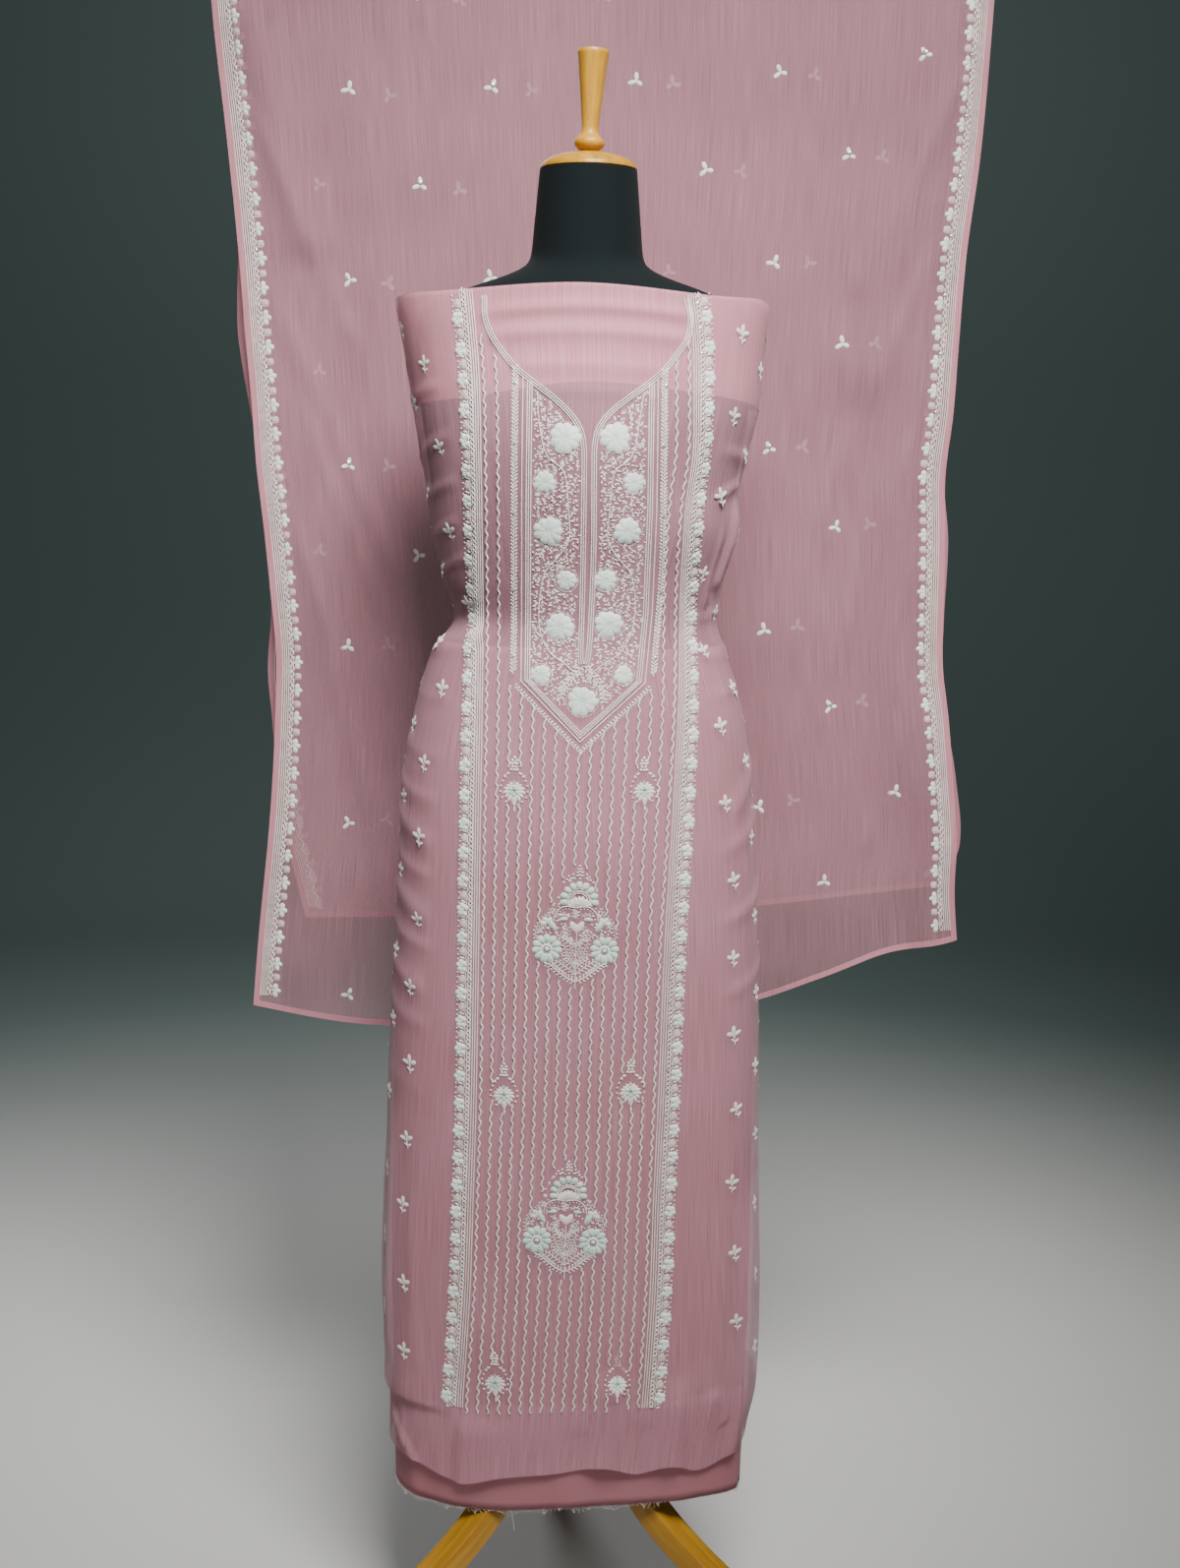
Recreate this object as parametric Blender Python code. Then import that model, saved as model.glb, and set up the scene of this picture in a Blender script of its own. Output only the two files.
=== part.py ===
"""Unstitched salwar kameez suit on a dress form, with its dupatta on a rail behind it.

The suit is shown as three lengths of cloth. The kameez cloth is wound round the form from the
shoulders to the shins and laps over itself at the back, its top edge turned in. The bottom cloth,
for the salwar, is a second tube inside it from the waist down. The dupatta hangs doubled over a
rail. The form is a jersey torso with a wooden neck cap, on a pole and three bent wooden legs.

Units are metres. The suit faces -Y, +X is the viewer's right, and the floor is z = 0.
"""
from __future__ import annotations

import math
from dataclasses import astuple, dataclass
from typing import Callable, Sequence

import bmesh
import bpy
from mathutils import Vector

# ---------------------------------------------------------------- driving sizes
CLOTH_WALL = 0.0012
SEAT_GAP = 0.0003          # between pieces that touch
LAYER_GAP = 0.0008         # between two layers of one cloth
LAP_HALF_ANGLE = 14        # degrees of the kameez cloth's lap on each side of the back

TORSO_BOTTOM = 0.760
NECK_TOP = 1.530
POLE_RADIUS = 0.014
HANDLE_LEAN = 1.6          # degrees that the handle leans to the right on its thread

HUB_FLAT = 0.034           # from the pole's axis to each flat side
HUB_BOTTOM = 0.205
HUB_TOP = 0.300
LEG_DEPTH = 0.025          # in the leg's own upright plane
LEG_THICKNESS = 0.031
LEG_REACH = 0.320          # from the pole's axis to the end of the foot
FOOT_SOLE = 0.026          # the foot's flat length on the floor
STAND_TURN = 4.0           # degrees that the stand is turned under the form
LEG_HEADINGS = {"leg_left": STAND_TURN - 150, "leg_right": STAND_TURN - 30, "leg_back": STAND_TURN + 90}

RAIL_RADIUS = 0.0125
RAIL_HEIGHT = 1.885
RAIL_HALF_LENGTH = 0.500
RAIL_BEHIND_FORM = 0.235
SOCKET_RADIUS = 0.030
SOCKET_FLANGE = 0.006
SOCKET_CUP = 0.018

# The back foot and the left front foot, which the turn brings forward, bound the part front to
# back, and the origin lies midway between them.
FRONT_TURN = math.radians(30 + STAND_TURN)
BACK_TURN = math.radians(STAND_TURN)
FRONT_FOOT_Y = -(LEG_REACH * math.sin(FRONT_TURN) + LEG_THICKNESS / 2 * math.cos(FRONT_TURN))
BACK_FOOT_Y = LEG_REACH * math.cos(BACK_TURN) + LEG_THICKNESS / 2 * math.sin(BACK_TURN)
FORM_Y = -(BACK_FOOT_Y + FRONT_FOOT_Y) / 2
RAIL_Y = FORM_Y + RAIL_BEHIND_FORM


# ---------------------------------------------------------------- tables
@dataclass(frozen=True)
class Level:
    """A horizontal section: half width, depth before and behind the axis, squareness, and how far
    its middle lies to the right of the axis."""

    z: float
    half_width: float
    front: float
    back: float
    power: float
    shift: float = 0.0


@dataclass(frozen=True)
class EdgeHeight:
    """Height of a cloth edge at an angle in degrees round the form, 0 at the front."""

    angle: float
    z: float


@dataclass(frozen=True)
class Fold:
    """A fold along a line on the cloth, raised (or sunk) with its own width on either side.

    The line runs from (from_angle, from_z) to (to_angle, to_z). before is the width on the left
    of that direction seen from outside, after the width on its right.
    """

    from_angle: float
    from_z: float
    to_angle: float
    to_z: float
    rise: float
    before: float
    after: float


TORSO_LEVELS = (
    Level(TORSO_BOTTOM, 0.1630, 0.0840, 0.0920, 2.20),
    Level(0.775, 0.1690, 0.0890, 0.0970, 2.20),
    Level(0.850, 0.1720, 0.0930, 0.1010, 2.20),
    Level(0.930, 0.1690, 0.0961, 0.1042, 2.20),
    Level(1.000, 0.1555, 0.0918, 0.0968, 2.20),
    Level(1.050, 0.1395, 0.0875, 0.0870, 2.15),
    Level(1.090, 0.1245, 0.0840, 0.0830, 2.10, 0.0020),
    Level(1.130, 0.1320, 0.0900, 0.0850, 2.10),
    Level(1.180, 0.1460, 0.1040, 0.0910, 2.15),
    Level(1.220, 0.1520, 0.1166, 0.0940, 2.20),
    Level(1.260, 0.1580, 0.1228, 0.0960, 2.20),
    Level(1.300, 0.1640, 0.1125, 0.0950, 2.20),
    Level(1.345, 0.1680, 0.0940, 0.0920, 2.30),
    Level(1.385, 0.1650, 0.0830, 0.0870, 2.30),
    Level(1.400, 0.1530, 0.0770, 0.0840, 2.20),
    Level(1.417, 0.1110, 0.0680, 0.0760, 2.10),
    Level(1.427, 0.0820, 0.0620, 0.0690, 2.00),
    Level(1.434, 0.0665, 0.0580, 0.0630, 2.00),
    Level(1.440, 0.0590, 0.0560, 0.0590, 2.00),
    Level(1.449, 0.0555, 0.0545, 0.0560, 2.00),
    Level(1.478, 0.0527, 0.0520, 0.0530, 2.00),
    Level(NECK_TOP, 0.0480, 0.0480, 0.0480, 2.00),
)

KAMEEZ_LEVELS = (
    Level(0.185, 0.1880, 0.086, 0.123, 2.60, -0.0015),
    Level(0.215, 0.1895, 0.086, 0.123, 2.60, -0.0010),
    Level(0.280, 0.1945, 0.087, 0.123, 2.50, 0.0035),
    Level(0.390, 0.1984, 0.089, 0.122, 2.45, 0.0008),
    Level(0.500, 0.1954, 0.092, 0.120, 2.40, -0.0005),
    Level(0.630, 0.1932, 0.096, 0.118, 2.35),
    Level(0.740, 0.1888, 0.101, 0.116, 2.30, 0.0009),
    Level(0.850, 0.1833, 0.106, 0.115, 2.25, 0.0005),
    Level(0.930, 0.1782, 0.104, 0.113, 2.20, -0.0018),
    Level(1.000, 0.1663, 0.101, 0.106, 2.20, -0.0008),
    Level(1.055, 0.1497, 0.098, 0.097, 2.15, -0.0008),
    Level(1.090, 0.1330, 0.097, 0.092, 2.10, 0.0046),
    Level(1.130, 0.1415, 0.103, 0.094, 2.15, 0.0015),
    Level(1.180, 0.1544, 0.114, 0.098, 2.20, 0.0025),
    Level(1.220, 0.1572, 0.121, 0.101, 2.20, -0.0004),
    Level(1.260, 0.1650, 0.124, 0.102, 2.20),
    Level(1.300, 0.1728, 0.120, 0.102, 2.25, 0.0010),
    Level(1.350, 0.1790, 0.110, 0.100, 2.30, -0.0010),
    Level(1.396, 0.1848, 0.101, 0.098, 2.40, -0.0035),
    Level(1.425, 0.1840, 0.098, 0.097, 2.40, -0.0035),
)

BOTTOM_LEVELS = (
    Level(0.155, 0.1835, 0.079, 0.114, 2.60, 0.0010),
    Level(0.230, 0.1850, 0.079, 0.114, 2.50, 0.0010),
    Level(0.390, 0.1890, 0.082, 0.113, 2.45),
    Level(0.630, 0.1868, 0.090, 0.110, 2.35),
    Level(0.740, 0.1833, 0.095, 0.108, 2.30),
    Level(0.850, 0.1780, 0.1005, 0.1065, 2.25),
    Level(0.930, 0.1722, 0.0985, 0.1065, 2.20, -0.0010),
    Level(1.000, 0.1605, 0.0955, 0.1005, 2.20, -0.0005),
    Level(1.055, 0.1443, 0.0925, 0.0915, 2.15),
    Level(1.075, 0.1330, 0.0920, 0.0885, 2.12, 0.0025),
)

KAMEEZ_HEM = (
    EdgeHeight(-180, 0.212), EdgeHeight(-120, 0.214), EdgeHeight(-90, 0.216), EdgeHeight(-65, 0.215),
    EdgeHeight(-50, 0.210), EdgeHeight(-33, 0.196), EdgeHeight(-20, 0.204), EdgeHeight(0, 0.212),
    EdgeHeight(12, 0.220), EdgeHeight(22, 0.210), EdgeHeight(32, 0.219), EdgeHeight(42, 0.209),
    EdgeHeight(58, 0.219), EdgeHeight(75, 0.223), EdgeHeight(90, 0.221), EdgeHeight(135, 0.214),
    EdgeHeight(180, 0.212),
)

KAMEEZ_TOP = (
    EdgeHeight(-180, 1.408), EdgeHeight(-90, 1.402), EdgeHeight(-60, 1.405), EdgeHeight(-40, 1.406),
    EdgeHeight(0, 1.4135), EdgeHeight(40, 1.405), EdgeHeight(65, 1.405), EdgeHeight(90, 1.398),
    EdgeHeight(180, 1.408),
)

TURNED_EDGE = (
    EdgeHeight(-180, 1.312), EdgeHeight(-90, 1.300), EdgeHeight(-40, 1.305), EdgeHeight(0, 1.321),
    EdgeHeight(40, 1.312), EdgeHeight(90, 1.302), EdgeHeight(180, 1.312),
)

BOTTOM_HEM = (
    EdgeHeight(-180, 0.170), EdgeHeight(-90, 0.169), EdgeHeight(-55, 0.167), EdgeHeight(-25, 0.164),
    EdgeHeight(-10, 0.167), EdgeHeight(0, 0.170), EdgeHeight(15, 0.173), EdgeHeight(45, 0.175),
    EdgeHeight(65, 0.171), EdgeHeight(90, 0.170), EdgeHeight(130, 0.173), EdgeHeight(180, 0.170),
)

KAMEEZ_FOLDS = (
    # the two flutes of the front hem, and the flap's straight left edge
    Fold(12, 0.330, 12, 0.180, 0.0070, 0.018, 0.018),
    Fold(32, 0.320, 32, 0.180, 0.0065, 0.014, 0.014),
    Fold(-33, 0.275, -33, 0.170, 0.0045, 0.045, 0.004),
    # the tuck's lip, from the left side to that edge
    Fold(-33, 0.272, -125, 0.288, 0.0055, 0.004, 0.040),
    # drag at the waist, and the upright fold over it on the right
    Fold(-88, 1.062, -40, 1.074, 0.0040, 0.010, 0.012),
    Fold(72, 1.215, 66, 1.120, 0.0045, 0.012, 0.012),
    # the longest drag folds of the hips
    Fold(-92, 0.905, -48, 0.865, 0.0035, 0.010, 0.012),
    Fold(-92, 0.830, -48, 0.790, 0.0035, 0.010, 0.012),
    Fold(-92, 0.750, -48, 0.715, 0.0030, 0.010, 0.012),
    Fold(92, 0.960, 55, 0.900, 0.0030, 0.012, 0.012),
    # long soft folds down the sides and the back
    Fold(68, 0.520, 58, 0.190, 0.0050, 0.016, 0.016),
    Fold(-66, 0.600, -70, 0.300, 0.0035, 0.018, 0.018),
    Fold(112, 0.800, 120, 0.190, 0.0060, 0.018, 0.018),
    Fold(-118, 0.780, -112, 0.190, 0.0060, 0.018, 0.018),
    Fold(150, 1.080, 142, 0.190, 0.0050, 0.020, 0.020),
    Fold(-148, 1.060, -150, 0.190, 0.0050, 0.020, 0.020),
)

BOTTOM_FOLDS = (
    Fold(62, 0.420, 70, 0.150, 0.0028, 0.016, 0.016),
    Fold(-60, 0.400, -54, 0.150, 0.0028, 0.016, 0.016),
    Fold(4, 0.300, 2, 0.150, 0.0022, 0.014, 0.014),
    Fold(130, 0.450, 126, 0.150, 0.0030, 0.018, 0.018),
    Fold(-132, 0.450, -128, 0.150, 0.0030, 0.018, 0.018),
)


@dataclass(frozen=True)
class Drop:
    """One hanging layer of the dupatta at a height: its left and right edges from the form's axis."""

    z: float
    left: float
    right: float


FRONT_DROP = (
    Drop(0.600, -0.374, 0.440), Drop(0.700, -0.366, 0.437), Drop(0.770, -0.359, 0.431),
    Drop(0.830, -0.353, 0.431), Drop(0.900, -0.348, 0.424), Drop(0.970, -0.345, 0.416),
    Drop(1.030, -0.344, 0.407), Drop(1.110, -0.351, 0.405), Drop(1.170, -0.357, 0.404),
    Drop(1.240, -0.365, 0.401), Drop(1.310, -0.370, 0.407), Drop(1.390, -0.377, 0.410),
    Drop(1.480, -0.384, 0.414), Drop(1.590, -0.395, 0.425), Drop(1.740, -0.411, 0.432),
    Drop(RAIL_HEIGHT, -0.416, 0.436),
)

BACK_DROP = (
    Drop(0.700, -0.310, 0.350), Drop(0.780, -0.330, 0.420), Drop(0.820, -0.340, 0.440),
    Drop(0.900, -0.349, 0.432), Drop(0.960, -0.354, 0.420), Drop(1.010, -0.358, 0.412),
    Drop(1.080, -0.354, 0.411), Drop(1.170, -0.358, 0.412), Drop(1.240, -0.364, 0.404),
    Drop(1.300, -0.376, 0.406), Drop(1.380, -0.389, 0.411), Drop(1.430, -0.390, 0.416),
    Drop(1.500, -0.388, 0.420), Drop(1.600, -0.396, 0.426), Drop(1.740, -0.411, 0.431),
    Drop(RAIL_HEIGHT, -0.416, 0.436),
)


@dataclass(frozen=True)
class HemHeight:
    """Height of the dupatta's cut end at a share of its width, 0 at the left edge."""

    share: float
    z: float


FRONT_HEM = (
    HemHeight(0.0, 0.624), HemHeight(0.12, 0.607), HemHeight(0.20, 0.603), HemHeight(0.45, 0.612),
    HemHeight(0.68, 0.633), HemHeight(0.80, 0.666), HemHeight(0.90, 0.697), HemHeight(1.0, 0.715),
)
BACK_HEM = (HemHeight(0.0, 0.722), HemHeight(0.3, 0.728), HemHeight(0.7, 0.742), HemHeight(1.0, 0.772))


@dataclass(frozen=True)
class HangingFold:
    """A soft fold of the dupatta along a line, by share of its width and height."""

    from_share: float
    from_z: float
    to_share: float
    to_z: float
    rise: float
    width: float


FRONT_HANGING_FOLDS = (
    HangingFold(0.03, 1.80, 0.10, 1.45, 0.010, 0.022),
    HangingFold(0.12, 1.74, 0.16, 1.00, -0.007, 0.035),
    HangingFold(0.10, 1.30, 0.06, 0.60, 0.008, 0.028),
    HangingFold(0.30, 1.25, 0.27, 0.60, 0.006, 0.040),
    HangingFold(0.97, 1.80, 0.86, 1.30, 0.010, 0.026),
    HangingFold(0.84, 1.55, 0.90, 0.62, -0.007, 0.034),
    HangingFold(0.76, 1.20, 0.74, 0.62, 0.006, 0.040),
    HangingFold(0.95, 1.05, 0.97, 0.62, 0.008, 0.022),
)
BACK_HANGING_FOLDS = (
    HangingFold(0.08, 1.70, 0.12, 0.70, -0.007, 0.030),
    HangingFold(0.35, 1.60, 0.33, 0.72, -0.006, 0.045),
    HangingFold(0.62, 1.55, 0.66, 0.72, -0.006, 0.045),
    HangingFold(0.90, 1.70, 0.88, 0.74, -0.007, 0.030),
)


# ---------------------------------------------------------------- reading the tables
def read_rows(rows: Sequence, key: float):
    """Row of a table at a key between its rows, by a cubic through them.

    Args:
        rows: Dataclass rows in order of their first field.
        key: The value of the first field that is wanted.

    Returns:
        A row of the same class, held at the end rows outside the table.
    """
    values = [astuple(row) for row in rows]
    last = len(values) - 1
    key = min(max(key, values[0][0]), values[last][0])
    at = next(i for i in range(last) if key <= values[i + 1][0])
    low, high = values[at], values[at + 1]
    span = high[0] - low[0]
    t = (key - low[0]) / span
    before, beyond = values[max(at - 1, 0)], values[min(at + 2, last)]
    fields = [key]
    for below, start, end, above in zip(before[1:], low[1:], high[1:], beyond[1:]):
        slope_in = (end - below) / (high[0] - before[0]) * span
        slope_out = (above - start) / (beyond[0] - low[0]) * span
        fields.append(
            (2 * t**3 - 3 * t**2 + 1) * start
            + (t**3 - 2 * t**2 + t) * slope_in
            + (3 * t**2 - 2 * t**3) * end
            + (t**3 - t**2) * slope_out
        )
    return type(rows[0])(*fields)


def soft_step(value: float) -> float:
    """0 below 0, 1 above 1, and a smooth rise between."""
    value = min(max(value, 0.0), 1.0)
    return value * value * (3 - 2 * value)


def line_fold(along: float, height: float, start: tuple, end: tuple, before: float, after: float) -> float:
    """Share of a fold's rise at a point, 1 on its line and fading at its sides and ends.

    Args:
        along: Distance of the point across the cloth.
        height: Height of the point.
        start: The line's first end, as distance across and height.
        end: The line's other end.
        before: Width of the fold on the left of its line.
        after: Width on the right of its line.

    Returns:
        A number from 0 to 1.
    """
    run, rise = end[0] - start[0], end[1] - start[1]
    length = math.hypot(run, rise)
    share = ((along - start[0]) * run + (height - start[1]) * rise) / length**2
    side = ((along - start[0]) * rise - (height - start[1]) * run) / length
    fade = soft_step(share / 0.25) * soft_step((1 - share) / 0.12)
    return fade * math.exp(-((side / (after if side > 0 else before)) ** 2))


# ---------------------------------------------------------------- cloth round the form
@dataclass(frozen=True)
class WornCloth:
    """Cloth round the form: its sections, its two edges and its folds."""

    levels: Sequence[Level]
    lower: Sequence[EdgeHeight]
    upper: Sequence[EdgeHeight]
    folds: Sequence[Fold]

    def point(self, angle: float, height: float, lift: float = 0.0) -> Vector:
        """Point of the outer surface.

        Args:
            angle: Degrees round the form, 0 at the front and 90 at the viewer's right.
            height: Height above the floor.
            lift: Distance moved out from the surface.

        Returns:
            The point in the part's frame.
        """
        level = read_rows(self.levels, height)
        turned = (angle + 180) % 360 - 180
        across, toward = math.sin(math.radians(turned)), math.cos(math.radians(turned))
        depth = level.front if toward > 0 else level.back
        square = (abs(across) ** level.power + abs(toward) ** level.power) ** (-1 / level.power)
        normal = Vector((depth * across, -level.half_width * toward, 0)).normalized()
        for fold in self.folds:
            start = (level.half_width * math.radians(fold.from_angle), fold.from_z)
            end = (level.half_width * math.radians(fold.to_angle), fold.to_z)
            along = level.half_width * math.radians(turned)
            lift += fold.rise * line_fold(along, height, start, end, fold.before, fold.after)
        side = level.shift + level.half_width * square * across
        place = Vector((side, FORM_Y - depth * square * toward, height))
        return place + normal * lift

    def edge(self, table: Sequence[EdgeHeight], angle: float) -> float:
        """Height of the lower or upper edge at an angle."""
        return read_rows(table, (angle + 180) % 360 - 180).z

    def rows(self, angles: Sequence[float], shares: Sequence[float], lift: Callable[[float], float]) -> list:
        """Rows of points from the lower edge to the upper one.

        Args:
            angles: The columns' angles.
            shares: The rows' shares of the way up.
            lift: The distance moved out at each angle.

        Returns:
            A list of rows of points.
        """
        rows = []
        for share in shares:
            row = []
            for angle in angles:
                low, high = self.edge(self.lower, angle), self.edge(self.upper, angle)
                row.append(self.point(angle, low + share * (high - low), lift(angle)))
            rows.append(row)
        return rows


# ---------------------------------------------------------------- making objects
@dataclass(frozen=True)
class Finish:
    """Colour, roughness and metallic value of a material."""

    name: str
    colour: tuple
    roughness: float
    metallic: float = 0.0


GEORGETTE = Finish("dusty_pink_georgette", (0.42, 0.27, 0.29), 0.9)
BOTTOM_CLOTH = Finish("plain_pink_cotton", (0.30, 0.18, 0.19), 0.9)
JERSEY = Finish("black_jersey", (0.014, 0.018, 0.02), 0.95)
BEECH = Finish("varnished_beech", (0.45, 0.28, 0.09), 0.35)
STEEL = Finish("brushed_steel", (0.55, 0.55, 0.56), 0.35, 1.0)


def material_for(finish: Finish) -> bpy.types.Material:
    """The finish's material, made once."""
    material = bpy.data.materials.get(finish.name)
    if material is None:
        material = bpy.data.materials.new(finish.name)
        material.use_nodes = True
        shader = material.node_tree.nodes["Principled BSDF"]
        shader.inputs["Base Color"].default_value = (*finish.colour, 1)
        shader.inputs["Roughness"].default_value = finish.roughness
        shader.inputs["Metallic"].default_value = finish.metallic
    return material


def add_object(name: str, mesh: bpy.types.Mesh, finish: Finish, sharp_degrees: float = 40) -> bpy.types.Object:
    """Link a mesh to the scene as one named object, shaded smooth but for its sharp edges."""
    obj = bpy.data.objects.new(name, mesh)
    bpy.context.scene.collection.objects.link(obj)
    mesh.materials.append(material_for(finish))
    mesh.shade_smooth()
    mesh.set_sharp_from_angle(angle=math.radians(sharp_degrees))
    return obj


def grid_mesh(name: str, rows: Sequence[Sequence[Vector]], closed: bool, capped: bool = False) -> bpy.types.Mesh:
    """Mesh of quads between rows of points.

    Args:
        name: The mesh's name.
        rows: Rows of equally many points, from the bottom up.
        closed: Whether each row's end joins its start.
        capped: Whether the first and last rows get a face, which makes a closed body.

    Returns:
        The mesh.
    """
    shape = bmesh.new()
    grid = [[shape.verts.new(point) for point in row] for row in rows]
    columns = len(rows[0])
    for low, high in zip(grid, grid[1:]):
        for i in range(columns if closed else columns - 1):
            j = (i + 1) % columns
            shape.faces.new((low[i], low[j], high[j], high[i]))
    if capped:
        shape.faces.new(reversed(grid[0]))
        shape.faces.new(grid[-1])
    mesh = bpy.data.meshes.new(name)
    shape.to_mesh(mesh)
    shape.free()
    return mesh


def turned_mesh(name: str, profile: Sequence[tuple], sides: int) -> bpy.types.Mesh:
    """Closed turned body about the Z axis.

    Args:
        name: The mesh's name.
        profile: (radius, height) points of the half section, from the axis round to the axis.
        sides: Number of sides.

    Returns:
        The mesh.
    """
    shape = bmesh.new()
    first = [shape.verts.new((radius, 0, height)) for radius, height in profile]
    edges = [shape.edges.new(pair) for pair in zip(first, first[1:])]
    bmesh.ops.spin(
        shape, geom=first + edges, axis=(0, 0, 1), cent=(0, 0, 0), dvec=(0, 0, 0),
        angle=math.tau, steps=sides, use_merge=True,
    )
    bmesh.ops.remove_doubles(shape, verts=shape.verts, dist=1e-6)
    bmesh.ops.recalc_face_normals(shape, faces=shape.faces)
    mesh = bpy.data.meshes.new(name)
    shape.to_mesh(mesh)
    shape.free()
    return mesh


def thicken(obj: bpy.types.Object) -> None:
    """Give a cloth surface its wall, inwards from its outer face."""
    wall = obj.modifiers.new("wall", "SOLIDIFY")
    wall.thickness = CLOTH_WALL
    wall.offset = -1


# ---------------------------------------------------------------- the pieces
def spread(start: float, stop: float, count: int) -> list[float]:
    """Evenly spaced values from start to stop, both included."""
    return [start + (stop - start) * i / (count - 1) for i in range(count)]


def build_torso() -> None:
    """The jersey torso and neck, one closed body with a flat underside."""
    heights = [TORSO_BOTTOM, 0.764, 0.775] + spread(0.800, 1.360, 15)
    heights += [1.380, 1.392, 1.403, 1.413, 1.421, 1.428, 1.4335, 1.440, 1.450, 1.480, NECK_TOP]
    torso = WornCloth(TORSO_LEVELS, (), (), ())
    rows = [[torso.point(angle, height) for angle in spread(0, 348, 30)] for height in heights]
    add_object("form_torso", grid_mesh("form_torso", rows, closed=True, capped=True), JERSEY, 50)


def build_neck_cap() -> None:
    """The wooden dome over the neck and the turned handle above it."""
    rim, rise = 0.0480, 0.0165
    seat = NECK_TOP + SEAT_GAP
    dome = [(0, 0), (rim - 0.001, 0), (rim, 0.001)]
    dome += [
        (rim * math.cos(math.radians(step)), 0.001 + rise * math.sin(math.radians(step)))
        for step in (15, 30, 45, 60, 75)
    ]
    dome.append((0, dome[-1][1]))
    cap = add_object("neck_cap", turned_mesh("neck_cap", dome, 30), BEECH)
    cap.location = (0, FORM_Y, seat)

    bead_radius, bead_half_height = 0.0152, 0.0090
    centre = bead_half_height * 0.94
    handle = [(0, 0)]
    handle += [
        (bead_radius * math.cos(math.radians(step)), centre + bead_half_height * math.sin(math.radians(step)))
        for step in range(-70, 50, 20)
    ]
    handle += [(0.0086, centre + 0.0100), (0.0084, centre + 0.0160), (0.0150, centre + 0.0815)]
    handle += [(0.0158, centre + 0.0860), (0.0148, centre + 0.0885), (0, centre + 0.0890)]
    knob = add_object("finial_handle", turned_mesh("finial_handle", handle, 20), BEECH)
    # the lean lowers one side of the bead's flat underside
    lean_drop = handle[1][0] * math.sin(math.radians(HANDLE_LEAN))
    knob.location = (0, FORM_Y, seat + dome[-1][1] + SEAT_GAP + lean_drop)
    knob.rotation_euler = (0, math.radians(HANDLE_LEAN), 0)


def leg_centre(t: float) -> tuple[float, float]:
    """Point (radius, height) of a leg's centre line, straight down the hub's side and out to the foot."""
    start = HUB_FLAT + SEAT_GAP + LEG_DEPTH / 2
    knots = ((start, HUB_TOP - 0.010), (start, 0.160), (0.150, 0.100), (LEG_REACH, 0.0080))
    weights = ((1 - t) ** 3, 3 * t * (1 - t) ** 2, 3 * t**2 * (1 - t), t**3)
    return sum(w * k[0] for w, k in zip(weights, knots)), sum(w * k[1] for w, k in zip(weights, knots))


def build_legs() -> None:
    """Three bent wooden legs of rectangular section, flat on the floor at the foot."""
    steps = spread(0, 1, 15)
    upper, lower = [], []
    for t in steps:
        radius, height = leg_centre(t)
        ahead, behind = leg_centre(min(t + 0.01, 1)), leg_centre(max(t - 0.01, 0))
        run, fall = ahead[0] - behind[0], ahead[1] - behind[1]
        length = math.hypot(run, fall)
        reach = LEG_DEPTH / 2 / length
        upper.append((radius - fall * reach, height + run * reach))
        lower.append((radius + fall * reach, max(height - run * reach, 0.0)))
    # the foot ends in an upright face and stands on a flat sole
    upper[-1] = (LEG_REACH, upper[-1][1])
    lower[-1:] = [(LEG_REACH - FOOT_SOLE, 0.0), (LEG_REACH, 0.0)]
    section = upper + lower[::-1]
    half = LEG_THICKNESS / 2
    for name, heading in LEG_HEADINGS.items():
        rows = [[Vector((radius, side, height)) for radius, height in section] for side in (-half, half)]
        leg = add_object(name, grid_mesh(name, rows, closed=True, capped=True), BEECH, 30)
        leg.location = (0, FORM_Y, 0)
        leg.rotation_euler = (0, 0, math.radians(heading))


def build_stand() -> None:
    """The pole under the torso and the six-sided hub that carries the legs."""
    corner = HUB_FLAT / math.cos(math.radians(30))
    hub_profile = [(0, HUB_BOTTOM), (corner - 0.004, HUB_BOTTOM), (corner, HUB_BOTTOM + 0.004)]
    hub_profile += [(corner, HUB_TOP - 0.004), (corner - 0.004, HUB_TOP), (0, HUB_TOP)]
    hub = add_object("leg_hub", turned_mesh("leg_hub", hub_profile, 6), BEECH, 20)
    hub.location = (0, FORM_Y, 0)
    hub.rotation_euler = (0, 0, math.radians(STAND_TURN))

    low, high = HUB_TOP + SEAT_GAP, TORSO_BOTTOM - SEAT_GAP
    pole_profile = [(0, low), (POLE_RADIUS, low), (POLE_RADIUS, high), (0, high)]
    pole = add_object("stand_pole", turned_mesh("stand_pole", pole_profile, 24), BEECH)
    pole.location = (0, FORM_Y, 0)
    build_legs()


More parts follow.
